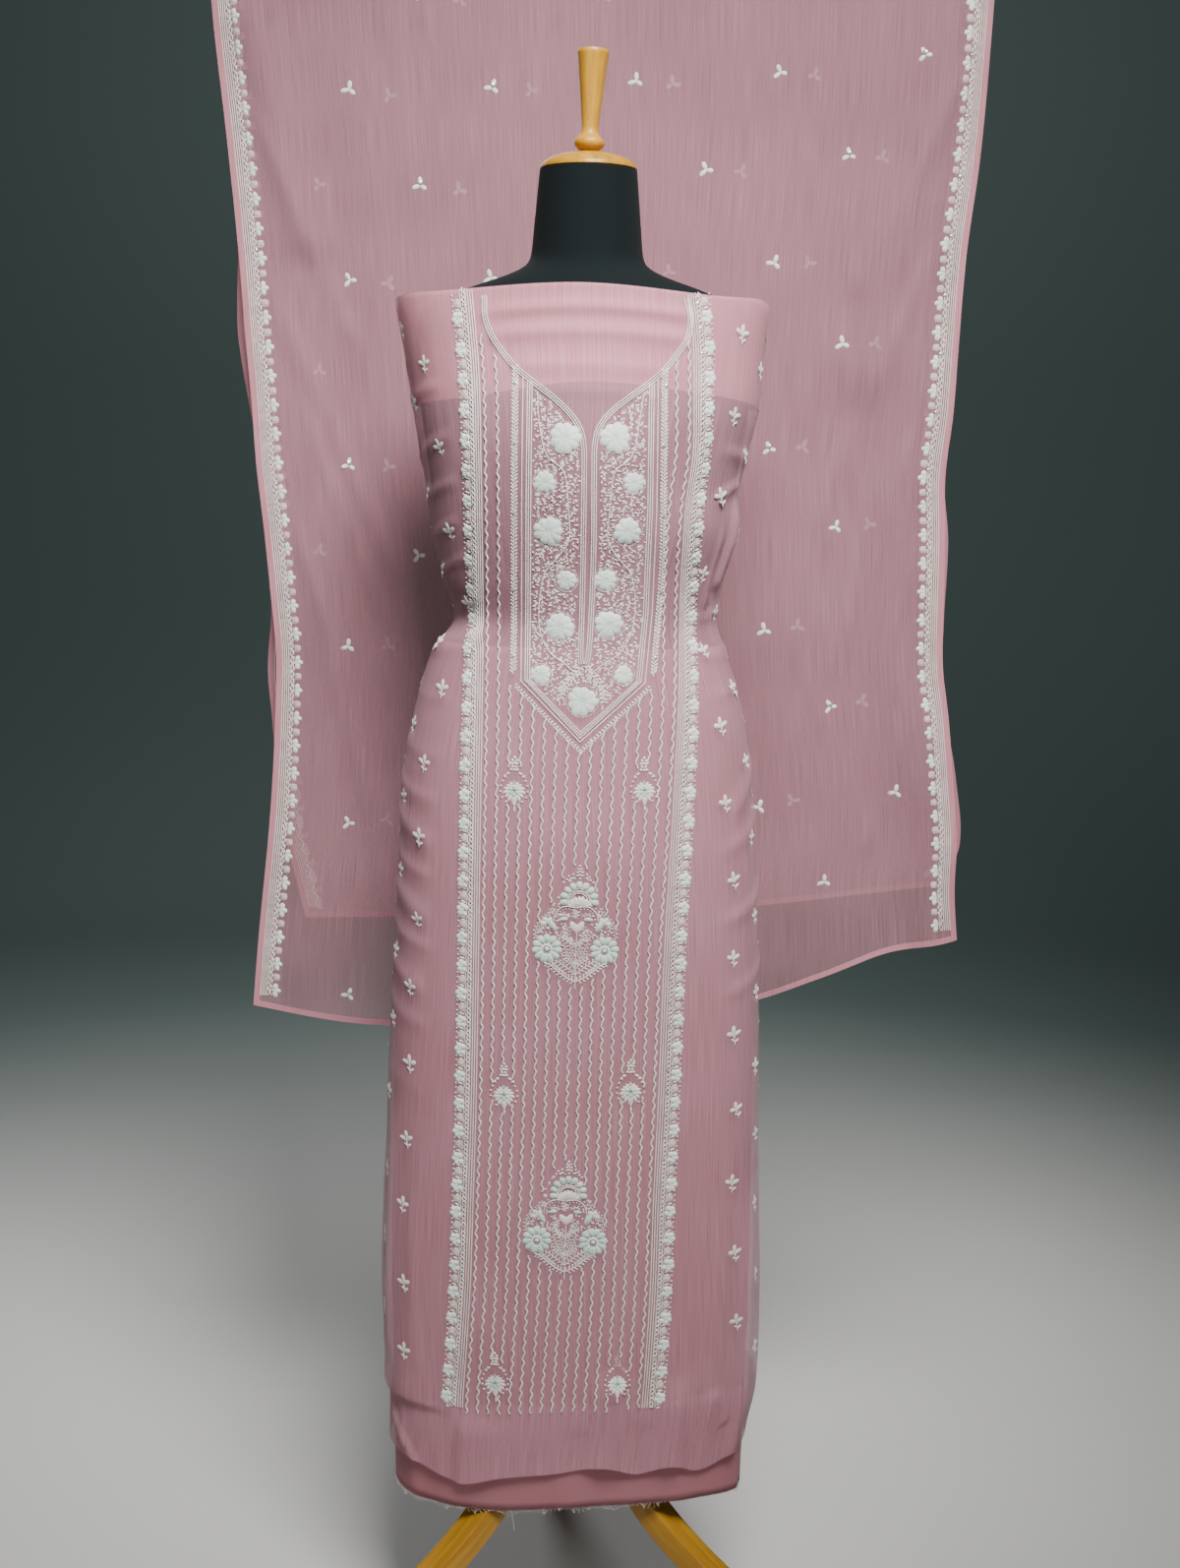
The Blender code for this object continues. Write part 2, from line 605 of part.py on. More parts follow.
def build_kameez() -> None:
    """The wound kameez cloth, lapped at the back, and its turned-in top."""
    kameez = WornCloth(KAMEEZ_LEVELS, KAMEEZ_HEM, KAMEEZ_TOP, KAMEEZ_FOLDS)
    angles = spread(-180 - LAP_HALF_ANGLE, -45, 19)
    angles += [-39, -35, -32.5, -28, -22, -15, -8, 0, 6, 12, 17, 22, 27, 32, 37]
    angles += spread(43, 180 + LAP_HALF_ANGLE, 20)
    shares = [0, 0.012, 0.03, 0.052, 0.066, 0.075, 0.09, 0.115, 0.15] + spread(0.20, 0.86, 16)
    top_shares = [0.898, 0.936, 0.968, 1.0]

    def lap_lift(angle: float) -> float:
        """The outer end of the cloth rises over the inner one before they meet."""
        return (CLOTH_WALL + LAYER_GAP) * soft_step((angle - 120) / 40)

    rows = kameez.rows(angles, shares + top_shares, lap_lift)
    thicken(add_object("kameez_cloth", grid_mesh("kameez_cloth", rows, closed=False), GEORGETTE))

    # the turned-in layer stands on the same facets, so its cut edge lies along them too
    inside = -(CLOTH_WALL + LAYER_GAP)
    ring = [angle for angle in angles if angle < 180 - LAP_HALF_ANGLE]
    rows = kameez.rows(ring, top_shares, lambda angle: inside)
    for column, angle in enumerate(ring):
        low, high = rows[0][column], rows[1][column]
        rows[0][column] = low.lerp(high, (kameez.edge(TURNED_EDGE, angle) - low.z) / (high.z - low.z))
    thicken(add_object("kameez_turned_top", grid_mesh("kameez_turned_top", rows, closed=True), GEORGETTE))


def build_bottom_cloth() -> None:
    """The plain cloth for the salwar, a tube from the waist to its raw hem."""
    waist = tuple(EdgeHeight(angle, 1.066) for angle in (-180, 180))
    bottom = WornCloth(BOTTOM_LEVELS, BOTTOM_HEM, waist, BOTTOM_FOLDS)
    shares = [0, 0.03, 0.08] + spread(0.18, 0.7, 5) + spread(0.76, 1, 6)
    rows = bottom.rows(spread(-180, 172, 45), shares, lambda angle: 0.0)
    thicken(add_object("bottom_cloth", grid_mesh("bottom_cloth", rows, closed=True), BOTTOM_CLOTH))


def drop_point(drops: Sequence[Drop], folds: Sequence[HangingFold], share: float, height: float, y: float) -> Vector:
    """Point of one hanging layer of the dupatta.

    Args:
        drops: The layer's edges by height.
        folds: The layer's folds.
        share: Share of the width, 0 at the left edge.
        height: Height above the floor.
        y: The layer's plane, where it has no fold.

    Returns:
        The point in the part's frame.
    """
    drop = read_rows(drops, height)
    width = drop.right - drop.left
    for fold in folds:
        start, end = (fold.from_share * width, fold.from_z), (fold.to_share * width, fold.to_z)
        y -= fold.rise * line_fold(share * width, height, start, end, fold.width, fold.width)
    return Vector((drop.left + share * width, y, height))


def build_dupatta() -> None:
    """The dupatta, one sheet up its front drop, over the rail and down its back drop."""
    shares = spread(0, 1, 31)
    hang = RAIL_RADIUS + 2 * SEAT_GAP + CLOTH_WALL
    rows = []
    for step in spread(0, 0.97, 18):
        row = []
        for share in shares:
            hem = read_rows(FRONT_HEM, share).z
            height = hem + step * (RAIL_HEIGHT - hem)
            row.append(drop_point(FRONT_DROP, FRONT_HANGING_FOLDS, share, height, RAIL_Y - hang))
        rows.append(row)
    for turn in spread(0, 180, 9):
        across, up = math.cos(math.radians(turn)), math.sin(math.radians(turn))
        ends = FRONT_DROP[-1]
        rows.append([
            Vector((ends.left + share * (ends.right - ends.left), RAIL_Y - hang * across, RAIL_HEIGHT + hang * up))
            for share in shares
        ])
    for step in spread(0.97, 0, 12):
        row = []
        for share in shares:
            hem = read_rows(BACK_HEM, share).z
            height = hem + step * (RAIL_HEIGHT - hem)
            row.append(drop_point(BACK_DROP, BACK_HANGING_FOLDS, share, height, RAIL_Y + hang))
        rows.append(row)
    thicken(add_object("dupatta", grid_mesh("dupatta", rows, closed=False), GEORGETTE))


def build_rail() -> None:
    """The dupatta's rail and the two flanged sockets that hold its ends."""
    profile = [(0, -RAIL_HALF_LENGTH), (RAIL_RADIUS, -RAIL_HALF_LENGTH)]
    profile += [(RAIL_RADIUS, RAIL_HALF_LENGTH), (0, RAIL_HALF_LENGTH)]
    rail = add_object("dupatta_rail", turned_mesh("dupatta_rail", profile, 24), STEEL)
    rail.location = (0, RAIL_Y, RAIL_HEIGHT)
    rail.rotation_euler = (0, math.radians(90), 0)

    bore, cup = RAIL_RADIUS + SEAT_GAP, RAIL_RADIUS + 0.004
    floor = SEAT_GAP
    socket = [(0, SOCKET_FLANGE + floor), (SOCKET_RADIUS - 0.001, SOCKET_FLANGE + floor)]
    socket += [(SOCKET_RADIUS, SOCKET_FLANGE + floor - 0.001), (SOCKET_RADIUS, floor + 0.001)]
    socket += [(SOCKET_RADIUS - 0.001, floor), (cup, floor), (cup, -SOCKET_CUP), (bore, -SOCKET_CUP)]
    socket += [(bore, floor), (0, floor)]
    for name, side in (("rail_socket_left", -1), ("rail_socket_right", 1)):
        holder = add_object(name, turned_mesh(name, socket, 24), STEEL)
        holder.location = (side * RAIL_HALF_LENGTH, RAIL_Y, RAIL_HEIGHT)
        holder.rotation_euler = (0, side * math.radians(90), 0)


def main() -> None:
    """Clear the scene and build the suit, its form and its rail."""
    for obj in list(bpy.data.objects):
        bpy.data.objects.remove(obj, do_unlink=True)
    build_torso()
    build_neck_cap()
    build_stand()
    build_bottom_cloth()
    build_kameez()
    build_dupatta()
    build_rail()


if __name__ == "__main__":
    main()
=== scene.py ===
"""Finished cloth, embroidery, form and studio of an unstitched salwar kameez suit.

The kameez cloth is sheer georgette wound round a jersey form, with an embroidered front panel. The
plain bottom cloth is a tube inside it, and the dupatta hangs doubled over a rail. Units are metres;
the suit faces -Y, +X is the viewer's right and the floor is z = 0.
"""
from __future__ import annotations
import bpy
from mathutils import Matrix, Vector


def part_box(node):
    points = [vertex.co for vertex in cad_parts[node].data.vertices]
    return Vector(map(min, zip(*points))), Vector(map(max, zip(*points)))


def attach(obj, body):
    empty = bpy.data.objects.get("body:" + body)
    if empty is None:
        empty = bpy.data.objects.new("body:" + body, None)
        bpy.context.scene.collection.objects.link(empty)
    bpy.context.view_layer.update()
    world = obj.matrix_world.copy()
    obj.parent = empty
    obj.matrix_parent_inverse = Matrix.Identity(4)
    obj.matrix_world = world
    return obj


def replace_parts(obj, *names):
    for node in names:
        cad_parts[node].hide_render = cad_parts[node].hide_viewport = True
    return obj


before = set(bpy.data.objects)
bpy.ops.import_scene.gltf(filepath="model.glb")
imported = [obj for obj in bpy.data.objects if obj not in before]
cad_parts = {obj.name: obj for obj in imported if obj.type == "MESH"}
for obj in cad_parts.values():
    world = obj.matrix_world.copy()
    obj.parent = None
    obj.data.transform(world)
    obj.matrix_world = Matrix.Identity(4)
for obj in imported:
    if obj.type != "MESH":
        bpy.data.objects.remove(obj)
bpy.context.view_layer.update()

import logging
import math
from dataclasses import astuple, dataclass
from enum import Enum
from typing import Callable, Sequence

import bmesh
import bpy
import numpy as np
from bpy.types import Material, Mesh, Node, NodeSocket, NodeTree, Object
from mathutils import Matrix, Vector

LOG = logging.getLogger("suit")
FORM_Y = sum(corner.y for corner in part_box("stand_pole")) / 2
RAIL_LOW, RAIL_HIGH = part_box("dupatta_rail")
RAIL_RADIUS = (RAIL_HIGH.z - RAIL_LOW.z) / 2
RAIL_Y, RAIL_Z = (RAIL_HIGH.y + RAIL_LOW.y) / 2, (RAIL_HIGH.z + RAIL_LOW.z) / 2
PLEAT_PITCH = 0.00115
WAVE_KINK = 0.26
Surface = Callable[[np.ndarray, np.ndarray], np.ndarray]


# ---------------------------------------------------------------- tables of the worn cloth
@dataclass(frozen=True)
class Level:
    """A section: half width, depths before and behind the axis, squareness, shift to the right."""

    z: float
    half_width: float
    front: float
    back: float
    power: float
    shift: float = 0.0


@dataclass(frozen=True)
class EdgeHeight:
    """Height of a cloth edge at an angle in degrees round the form, 0 at the front."""

    angle: float
    z: float


@dataclass(frozen=True)
class Crease:
    """A soft ridge (or trough) along a line, with its own width on either side.

    Its ends are (place across, height). before is the width on the left of the line's direction,
    after on the right, and bow moves its middle to the left.
    """

    start: tuple[float, float]
    end: tuple[float, float]
    rise: float
    before: float
    after: float
    bow: float = 0.0


def rows_of(kind: type, *rows: tuple) -> tuple:
    """A table of one kind of row, from the rows' values."""
    return tuple(kind(*row) for row in rows)


TORSO_LEVELS = rows_of(
    Level,
    (0.76, 0.163, 0.084, 0.092, 2.2), (0.775, 0.169, 0.089, 0.097, 2.2), (0.85, 0.172, 0.093, 0.101, 2.2),
    (0.93, 0.169, 0.0961, 0.1042, 2.2), (1.0, 0.1555, 0.0918, 0.0968, 2.2),
    (1.05, 0.1395, 0.0875, 0.087, 2.15), (1.09, 0.1245, 0.084, 0.083, 2.1, 0.002),
    (1.13, 0.132, 0.09, 0.085, 2.1), (1.18, 0.146, 0.104, 0.091, 2.15), (1.22, 0.152, 0.1166, 0.094, 2.2),
    (1.26, 0.158, 0.1228, 0.096, 2.2), (1.3, 0.164, 0.1125, 0.095, 2.2),
    (1.345, 0.168, 0.094, 0.092, 2.3), (1.385, 0.165, 0.083, 0.087, 2.3), (1.4, 0.153, 0.077, 0.084, 2.2),
    (1.417, 0.111, 0.068, 0.076, 2.1), (1.427, 0.082, 0.062, 0.069, 2.0),
    (1.434, 0.0665, 0.058, 0.063, 2.0), (1.44, 0.059, 0.056, 0.059, 2.0),
    (1.449, 0.0555, 0.0545, 0.056, 2.0), (1.478, 0.0527, 0.052, 0.053, 2.0),
    (1.53, 0.048, 0.048, 0.048, 2.0),
)

KAMEEZ_LEVELS = rows_of(
    Level,
    (0.185, 0.188, 0.086, 0.123, 2.6, -0.0015), (0.215, 0.1895, 0.086, 0.123, 2.6, -0.001),
    (0.28, 0.1945, 0.087, 0.123, 2.5, 0.0035), (0.39, 0.1984, 0.089, 0.122, 2.45, 0.0008),
    (0.5, 0.1954, 0.092, 0.12, 2.4, -0.0005), (0.63, 0.1932, 0.096, 0.118, 2.35),
    (0.74, 0.1888, 0.101, 0.116, 2.3, 0.0009), (0.85, 0.1833, 0.106, 0.115, 2.25, 0.0005),
    (0.93, 0.1782, 0.104, 0.113, 2.2, -0.0018), (1.0, 0.1663, 0.101, 0.106, 2.2, -0.0008),
    (1.055, 0.1497, 0.098, 0.097, 2.15, -0.0008), (1.09, 0.133, 0.097, 0.092, 2.1, 0.0046),
    (1.13, 0.1415, 0.103, 0.094, 2.15, 0.0015), (1.18, 0.1544, 0.114, 0.098, 2.2, 0.0025),
    (1.22, 0.1572, 0.121, 0.101, 2.2, -0.0004), (1.26, 0.165, 0.124, 0.102, 2.2),
    (1.3, 0.1728, 0.12, 0.102, 2.25, 0.001), (1.35, 0.179, 0.11, 0.1, 2.3, -0.001),
    (1.396, 0.1848, 0.101, 0.098, 2.4, -0.0035), (1.425, 0.184, 0.098, 0.097, 2.4, -0.0035),
)

BOTTOM_LEVELS = rows_of(
    Level,
    (0.155, 0.1835, 0.079, 0.114, 2.6, 0.001), (0.23, 0.185, 0.079, 0.114, 2.5, 0.001),
    (0.39, 0.189, 0.082, 0.113, 2.45), (0.63, 0.1868, 0.09, 0.11, 2.35),
    (0.74, 0.1833, 0.095, 0.108, 2.3), (0.85, 0.178, 0.1005, 0.1065, 2.25),
    (0.93, 0.1722, 0.0985, 0.1065, 2.2, -0.001), (1.0, 0.1605, 0.0955, 0.1005, 2.2, -0.0005),
    (1.055, 0.1443, 0.0925, 0.0915, 2.15), (1.075, 0.133, 0.092, 0.0885, 2.12, 0.0025),
)

KAMEEZ_HEM = rows_of(
    EdgeHeight,
    (-180, 0.212), (-120, 0.214), (-90, 0.216), (-65, 0.215), (-50, 0.21), (-33, 0.196), (-20, 0.204),
    (0, 0.212), (12, 0.22), (22, 0.21), (32, 0.219), (42, 0.209), (58, 0.219), (75, 0.223), (90, 0.221),
    (135, 0.214), (180, 0.212),
)
KAMEEZ_TOP = rows_of(
    EdgeHeight,
    (-180, 1.408), (-90, 1.402), (-60, 1.405), (-40, 1.406), (0, 1.4135), (40, 1.405), (65, 1.405),
    (90, 1.398), (180, 1.408),
)
TURNED_EDGE = rows_of(
    EdgeHeight,
    (-180, 1.312), (-90, 1.3), (-40, 1.305), (0, 1.321), (40, 1.312), (90, 1.302), (180, 1.312),
)
BOTTOM_HEM = rows_of(
    EdgeHeight,
    (-180, 0.17), (-90, 0.169), (-55, 0.167), (-25, 0.164), (-10, 0.167), (0, 0.17), (15, 0.173),
    (45, 0.175), (65, 0.171), (90, 0.17), (130, 0.173), (180, 0.17),
)
FACING_TOP = rows_of(EdgeHeight, (-180, 0.283), (-60, 0.279), (60, 0.295), (180, 0.283))
BOTTOM_WAIST = rows_of(EdgeHeight, (-180, 1.066), (180, 1.066))

# the kameez cloth's largest folds, across in degrees round the form
KAMEEZ_FOLDS = rows_of(
    Crease,
    ((12, 0.33), (12, 0.18), 0.007, 0.018, 0.018), ((32, 0.32), (32, 0.18), 0.0065, 0.014, 0.014),
    ((-33, 0.275), (-33, 0.17), 0.0045, 0.045, 0.004), ((-33, 0.272), (-125, 0.288), 0.0055, 0.004, 0.04),
    ((-88, 1.062), (-40, 1.074), 0.004, 0.01, 0.012), ((72, 1.215), (66, 1.12), 0.0045, 0.012, 0.012),
    ((-92, 0.905), (-48, 0.865), 0.0022, 0.01, 0.012), ((-92, 0.83), (-48, 0.79), 0.0022, 0.01, 0.012),
    ((-92, 0.75), (-48, 0.715), 0.002, 0.01, 0.012), ((92, 0.96), (55, 0.9), 0.003, 0.012, 0.012),
    ((68, 0.52), (58, 0.19), 0.005, 0.016, 0.016), ((-66, 0.6), (-70, 0.3), 0.0035, 0.018, 0.018),
    ((112, 0.8), (120, 0.19), 0.006, 0.018, 0.018), ((-118, 0.78), (-112, 0.19), 0.006, 0.018, 0.018),
    ((150, 1.08), (142, 0.19), 0.005, 0.02, 0.02), ((-148, 1.06), (-150, 0.19), 0.005, 0.02, 0.02),
)
# its finer creases: bands inside the neckline, drag at both sides, and soft falls at the back
KAMEEZ_CREASES = rows_of(
    Crease,
    ((-36, 1.381), (36, 1.383), 0.0036, 0.005, 0.007, 0.01),
    ((-38, 1.359), (36, 1.361), 0.0032, 0.006, 0.008, 0.009),
    ((-30, 1.334), (32, 1.332), 0.0019, 0.005, 0.009, 0.004),
    ((-24, 1.312), (26, 1.308), 0.0015, 0.004, 0.008, 0.003),
    ((-96, 1.3), (-48, 1.318), 0.0011, 0.0042, 0.0063),
    ((-98, 1.245), (-46, 1.272), 0.0015, 0.0042, 0.007, -0.004),
    ((-98, 1.205), (-46, 1.228), 0.0014, 0.0042, 0.0063, -0.004),
    ((-96, 1.168), (-48, 1.19), 0.0016, 0.0042, 0.0063, -0.005),
    ((-96, 1.128), (-46, 1.156), 0.0015, 0.0035, 0.0056, -0.004),
    ((-94, 1.092), (-44, 1.118), 0.0012, 0.0035, 0.0056, -0.003),
    ((48, 1.262), (96, 1.25), 0.0018, 0.0049, 0.007, -0.003),
    ((50, 1.206), (74, 1.228), 0.0027, 0.0042, 0.007, 0.004),
    ((58, 1.19), (60, 1.1), 0.0025, 0.0056, 0.007),
    ((50, 1.096), (92, 1.112), 0.0018, 0.0042, 0.0063, -0.004),
    ((48, 1.06), (92, 1.066), 0.0016, 0.0042, 0.0063, -0.004),
    ((48, 1.02), (92, 1.032), 0.0014, 0.0049, 0.007, -0.003),
    ((-90, 1.022), (-46, 1.012), 0.0007, 0.0042, 0.0063, -0.003),
    ((-92, 0.975), (-46, 0.955), 0.0009, 0.0068, 0.0085, -0.004),
    ((-92, 0.94), (-46, 0.912), 0.0013, 0.0059, 0.0093, -0.006),
    ((-92, 0.87), (-47, 0.834), 0.0014, 0.0059, 0.0093, -0.006),
    ((-92, 0.795), (-46, 0.762), 0.0014, 0.0059, 0.0093, -0.006),
    ((-92, 0.715), (-46, 0.68), 0.0012, 0.0068, 0.0102, -0.005),
    ((-90, 0.64), (-46, 0.612), 0.0006, 0.0076, 0.0102, -0.004),
    ((45, 0.862), (92, 0.905), 0.0019, 0.0068, 0.0102, -0.004),
    ((45, 0.79), (92, 0.832), 0.0022, 0.0068, 0.0102, -0.004),
    ((45, 0.716), (92, 0.752), 0.0018, 0.0068, 0.0102, -0.004),
    ((-80, 0.56), (-83, 0.3), 0.0022, 0.0085, 0.0119), ((-52, 0.52), (-50, 0.3), 0.0015, 0.0085, 0.0102),
    ((50, 0.48), (44, 0.25), 0.0018, 0.0085, 0.0102), ((84, 0.6), (80, 0.24), 0.0024, 0.0102, 0.0102),
    ((-74, 0.262), (-47, 0.196), 0.0028, 0.0043, 0.0102, 0.006),
    ((-60, 0.28), (-58, 0.215), 0.0015, 0.0051, 0.0068),
    ((44, 0.3), (52, 0.255), 0.0028, 0.0068, 0.0136, 0.004),
    ((2, 0.262), (3, 0.205), -0.0014, 0.014, 0.012), ((22, 0.27), (22, 0.205), -0.0014, 0.012, 0.01),
    ((104, 1.33), (150, 1.24), 0.0026, 0.01, 0.014, -0.006),
    ((-104, 1.33), (-152, 1.23), 0.0026, 0.014, 0.01, 0.006),
    ((106, 1.16), (160, 1.09), 0.0024, 0.008, 0.012, -0.006),
    ((-104, 1.15), (-162, 1.086), 0.0024, 0.012, 0.008, 0.006),
    ((100, 0.93), (150, 0.86), 0.0022, 0.01, 0.014, -0.008),
    ((-100, 0.92), (-150, 0.85), 0.0011, 0.014, 0.01, 0.008),
    ((100, 0.82), (140, 0.77), 0.0018, 0.01, 0.014, -0.006),
    ((-100, 0.8), (-142, 0.74), 0.0009, 0.014, 0.01, 0.006),
    ((132, 0.7), (134, 0.23), 0.003, 0.014, 0.016), ((-134, 0.68), (-132, 0.23), 0.0014, 0.014, 0.016),
    ((168, 0.9), (163, 0.23), 0.0026, 0.014, 0.016), ((-166, 0.94), (-170, 0.23), 0.0013, 0.014, 0.016),
)
BOTTOM_FOLDS = rows_of(
    Crease,
    ((62, 0.42), (70, 0.15), 0.0028, 0.016, 0.016), ((-60, 0.4), (-54, 0.15), 0.0028, 0.016, 0.016),
    ((4, 0.3), (2, 0.15), 0.0022, 0.014, 0.014), ((130, 0.45), (126, 0.15), 0.003, 0.018, 0.018),
    ((-132, 0.45), (-128, 0.15), 0.003, 0.018, 0.018),
)
BOTTOM_CREASES = rows_of(
    Crease,
    ((-3, 0.215), (-1, 0.15), 0.0014, 0.006, 0.009), ((-40, 0.24), (-36, 0.15), 0.0012, 0.012, 0.014),
    ((34, 0.24), (38, 0.15), 0.0012, 0.012, 0.014), ((-78, 0.3), (-82, 0.15), 0.0014, 0.012, 0.014),
    ((80, 0.3), (84, 0.15), 0.0014, 0.012, 0.014), ((160, 0.5), (156, 0.15), 0.0024, 0.016, 0.018),
    ((-158, 0.5), (-160, 0.15), 0.0024, 0.016, 0.018),
)


@dataclass(frozen=True)
class Drop:
    """One hanging layer of the dupatta at a height: its left and right edges."""

    z: float
    left: float
    right: float


@dataclass(frozen=True)
class HemHeight:
    """Height of the dupatta's cut end at a share of its width."""

    share: float
    z: float


FRONT_DROP = rows_of(
    Drop,
    (0.6, -0.374, 0.44), (0.7, -0.366, 0.437), (0.77, -0.359, 0.431), (0.83, -0.353, 0.431),
    (0.9, -0.348, 0.424), (0.97, -0.345, 0.416), (1.03, -0.344, 0.407), (1.11, -0.351, 0.405),
    (1.17, -0.357, 0.404), (1.24, -0.365, 0.401), (1.31, -0.37, 0.407), (1.39, -0.377, 0.41),
    (1.48, -0.384, 0.414), (1.59, -0.395, 0.425), (1.74, -0.411, 0.432), (1.885, -0.416, 0.436),
)
BACK_DROP = rows_of(
    Drop,
    (0.7, -0.31, 0.35), (0.78, -0.33, 0.42), (0.82, -0.34, 0.44), (0.9, -0.349, 0.432),
    (0.96, -0.354, 0.42), (1.01, -0.358, 0.412), (1.08, -0.354, 0.411), (1.17, -0.358, 0.412),
    (1.24, -0.364, 0.404), (1.3, -0.376, 0.406), (1.38, -0.389, 0.411), (1.43, -0.39, 0.416),
    (1.5, -0.388, 0.42), (1.6, -0.396, 0.426), (1.74, -0.411, 0.431), (1.885, -0.416, 0.436),
)
FRONT_HEM = rows_of(
    HemHeight,
    (0.0, 0.624), (0.12, 0.607), (0.2, 0.603), (0.45, 0.612), (0.68, 0.633), (0.8, 0.666), (0.9, 0.697),
    (1.0, 0.715),
)
BACK_HEM = rows_of(
    HemHeight,
    (0.0, 0.722), (0.3, 0.728), (0.7, 0.742), (1.0, 0.772),
)
# across as a share of the width, 0 at the left edge
FRONT_FALLS = rows_of(
    Crease,
    ((0.03, 1.8), (0.1, 1.45), 0.01, 0.022, 0.022), ((0.12, 1.74), (0.16, 1.0), -0.007, 0.035, 0.035),
    ((0.1, 1.3), (0.06, 0.6), 0.008, 0.028, 0.028), ((0.3, 1.25), (0.27, 0.6), 0.006, 0.04, 0.04),
    ((0.97, 1.8), (0.86, 1.3), 0.01, 0.026, 0.026), ((0.84, 1.55), (0.9, 0.62), -0.007, 0.034, 0.034),
    ((0.76, 1.2), (0.74, 0.62), 0.006, 0.04, 0.04), ((0.95, 1.05), (0.97, 0.62), 0.008, 0.022, 0.022),
)
FRONT_CREASES = rows_of(
    Crease,
    ((0.02, 1.66), (0.16, 1.36), 0.0035, 0.008, 0.014), ((0.03, 1.46), (0.2, 1.1), 0.004, 0.009, 0.016),
    ((0.06, 1.34), (0.17, 1.06), 0.003, 0.007, 0.012), ((0.03, 1.22), (0.16, 0.84), 0.0035, 0.008, 0.014),
    ((0.07, 1.06), (0.2, 0.7), 0.0025, 0.008, 0.012), ((0.99, 1.72), (0.84, 1.42), 0.004, 0.014, 0.009),
    ((0.97, 1.52), (0.8, 1.16), 0.0035, 0.014, 0.008), ((0.96, 1.32), (0.82, 1.0), 0.003, 0.014, 0.008),
    ((0.97, 1.1), (0.86, 0.8), 0.003, 0.012, 0.008), ((0.42, 1.86), (0.4, 1.6), 0.0018, 0.012, 0.012),
    ((0.63, 1.86), (0.66, 1.5), 0.0018, 0.012, 0.014), ((0.22, 1.84), (0.24, 1.52), 0.002, 0.012, 0.014),
    ((0.52, 0.95), (0.5, 0.62), 0.0022, 0.014, 0.014),
)
BACK_FALLS = rows_of(
    Crease,
    ((0.08, 1.7), (0.12, 0.7), -0.007, 0.03, 0.03), ((0.35, 1.6), (0.33, 0.72), -0.006, 0.045, 0.045),
    ((0.62, 1.55), (0.66, 0.72), -0.006, 0.045, 0.045), ((0.9, 1.7), (0.88, 0.74), -0.007, 0.03, 0.03),
)
BACK_CREASES = rows_of(
    Crease,
    ((0.2, 1.8), (0.24, 1.2), -0.003, 0.014, 0.016), ((0.48, 1.76), (0.46, 1.1), -0.003, 0.014, 0.016),
    ((0.77, 1.8), (0.74, 1.22), -0.003, 0.016, 0.014), ((0.16, 1.1), (0.2, 0.76), -0.0026, 0.012, 0.014),
    ((0.54, 1.05), (0.56, 0.76), -0.0026, 0.014, 0.012),
    ((0.8, 1.12), (0.78, 0.8), -0.0026, 0.012, 0.014),
)


def read_table(rows: Sequence, key: np.ndarray) -> np.ndarray:
    """Columns of a table at keys between its rows, by a cubic through them.

    Args:
        rows: Dataclass rows in order of their first field.
        key: Values of the first field.

    Returns:
        An array with one more axis than key, the rows' other fields.
    """
    values = np.array([astuple(row) for row in rows])
    key = np.clip(np.asarray(key, float), values[0, 0], values[-1, 0])
    at = np.clip(np.searchsorted(values[:, 0], key) - 1, 0, len(values) - 2)
    low, high = values[at], values[at + 1]
    before, beyond = values[np.maximum(at - 1, 0)], values[np.minimum(at + 2, len(values) - 1)]
    span = high[..., :1] - low[..., :1]
    t = (key[..., None] - low[..., :1]) / span
    slope_in = (high - before) / (high[..., :1] - before[..., :1]) * span
    slope_out = (beyond - low) / (beyond[..., :1] - low[..., :1]) * span
    found = (2 * t**3 - 3 * t**2 + 1) * low + (t**3 - 2 * t**2 + t) * slope_in
    return (found + (3 * t**2 - 2 * t**3) * high + (t**3 - t**2) * slope_out)[..., 1:]


def soft_step(value: np.ndarray) -> np.ndarray:
    """0 below 0, 1 above 1, and a smooth rise between."""
    value = np.clip(value, 0.0, 1.0)
    return value * value * (3 - 2 * value)


def crease_lift(across: np.ndarray, height: np.ndarray, scale: np.ndarray,
                creases: Sequence[Crease]) -> np.ndarray:
    """Sum of the creases' rises at points of a cloth.

    Args:
        across: Distance across the cloth.
        height: Height of the points.
        scale: Metres across for each unit of the creases' places.
        creases: The creases.

    Returns:
        The lift at each point.
    """
    total = np.zeros_like(across)
    for crease in creases:
        start = crease.start[0] * scale
        run, rise = crease.end[0] * scale - start, crease.end[1] - crease.start[1]
        length = np.hypot(run, rise)
        share = ((across - start) * run + (height - crease.start[1]) * rise) / length**2
        side = ((across - start) * rise - (height - crease.start[1]) * run) / length
        side = side + crease.bow * 4 * share * (1 - share)
        fade = soft_step(share / 0.25) * soft_step((1 - share) / 0.12)
        total += crease.rise * fade * np.exp(-((side / np.where(side > 0, crease.after, crease.before)) ** 2))
    return total


def run_of(path: np.ndarray) -> np.ndarray:
    """Distances along a path from its start."""
    return np.cumsum(np.linalg.norm(np.diff(path, axis=0, prepend=path[:1]), axis=1))


def slope_of(path: np.ndarray) -> np.ndarray:
    """Directions of a path at its points, each of length one."""
    slope = np.gradient(path, axis=0)
    return slope / np.linalg.norm(slope, axis=1, keepdims=True)


def runs_where(shown: np.ndarray, least: int) -> list[np.ndarray]:
    """The stretches, longer than a least count of places, in which all are shown."""
    stretches = np.split(np.arange(len(shown)), np.flatnonzero(np.diff(shown.astype(int))) + 1)
    return [stretch for stretch in stretches if shown[stretch[0]] and len(stretch) > least]


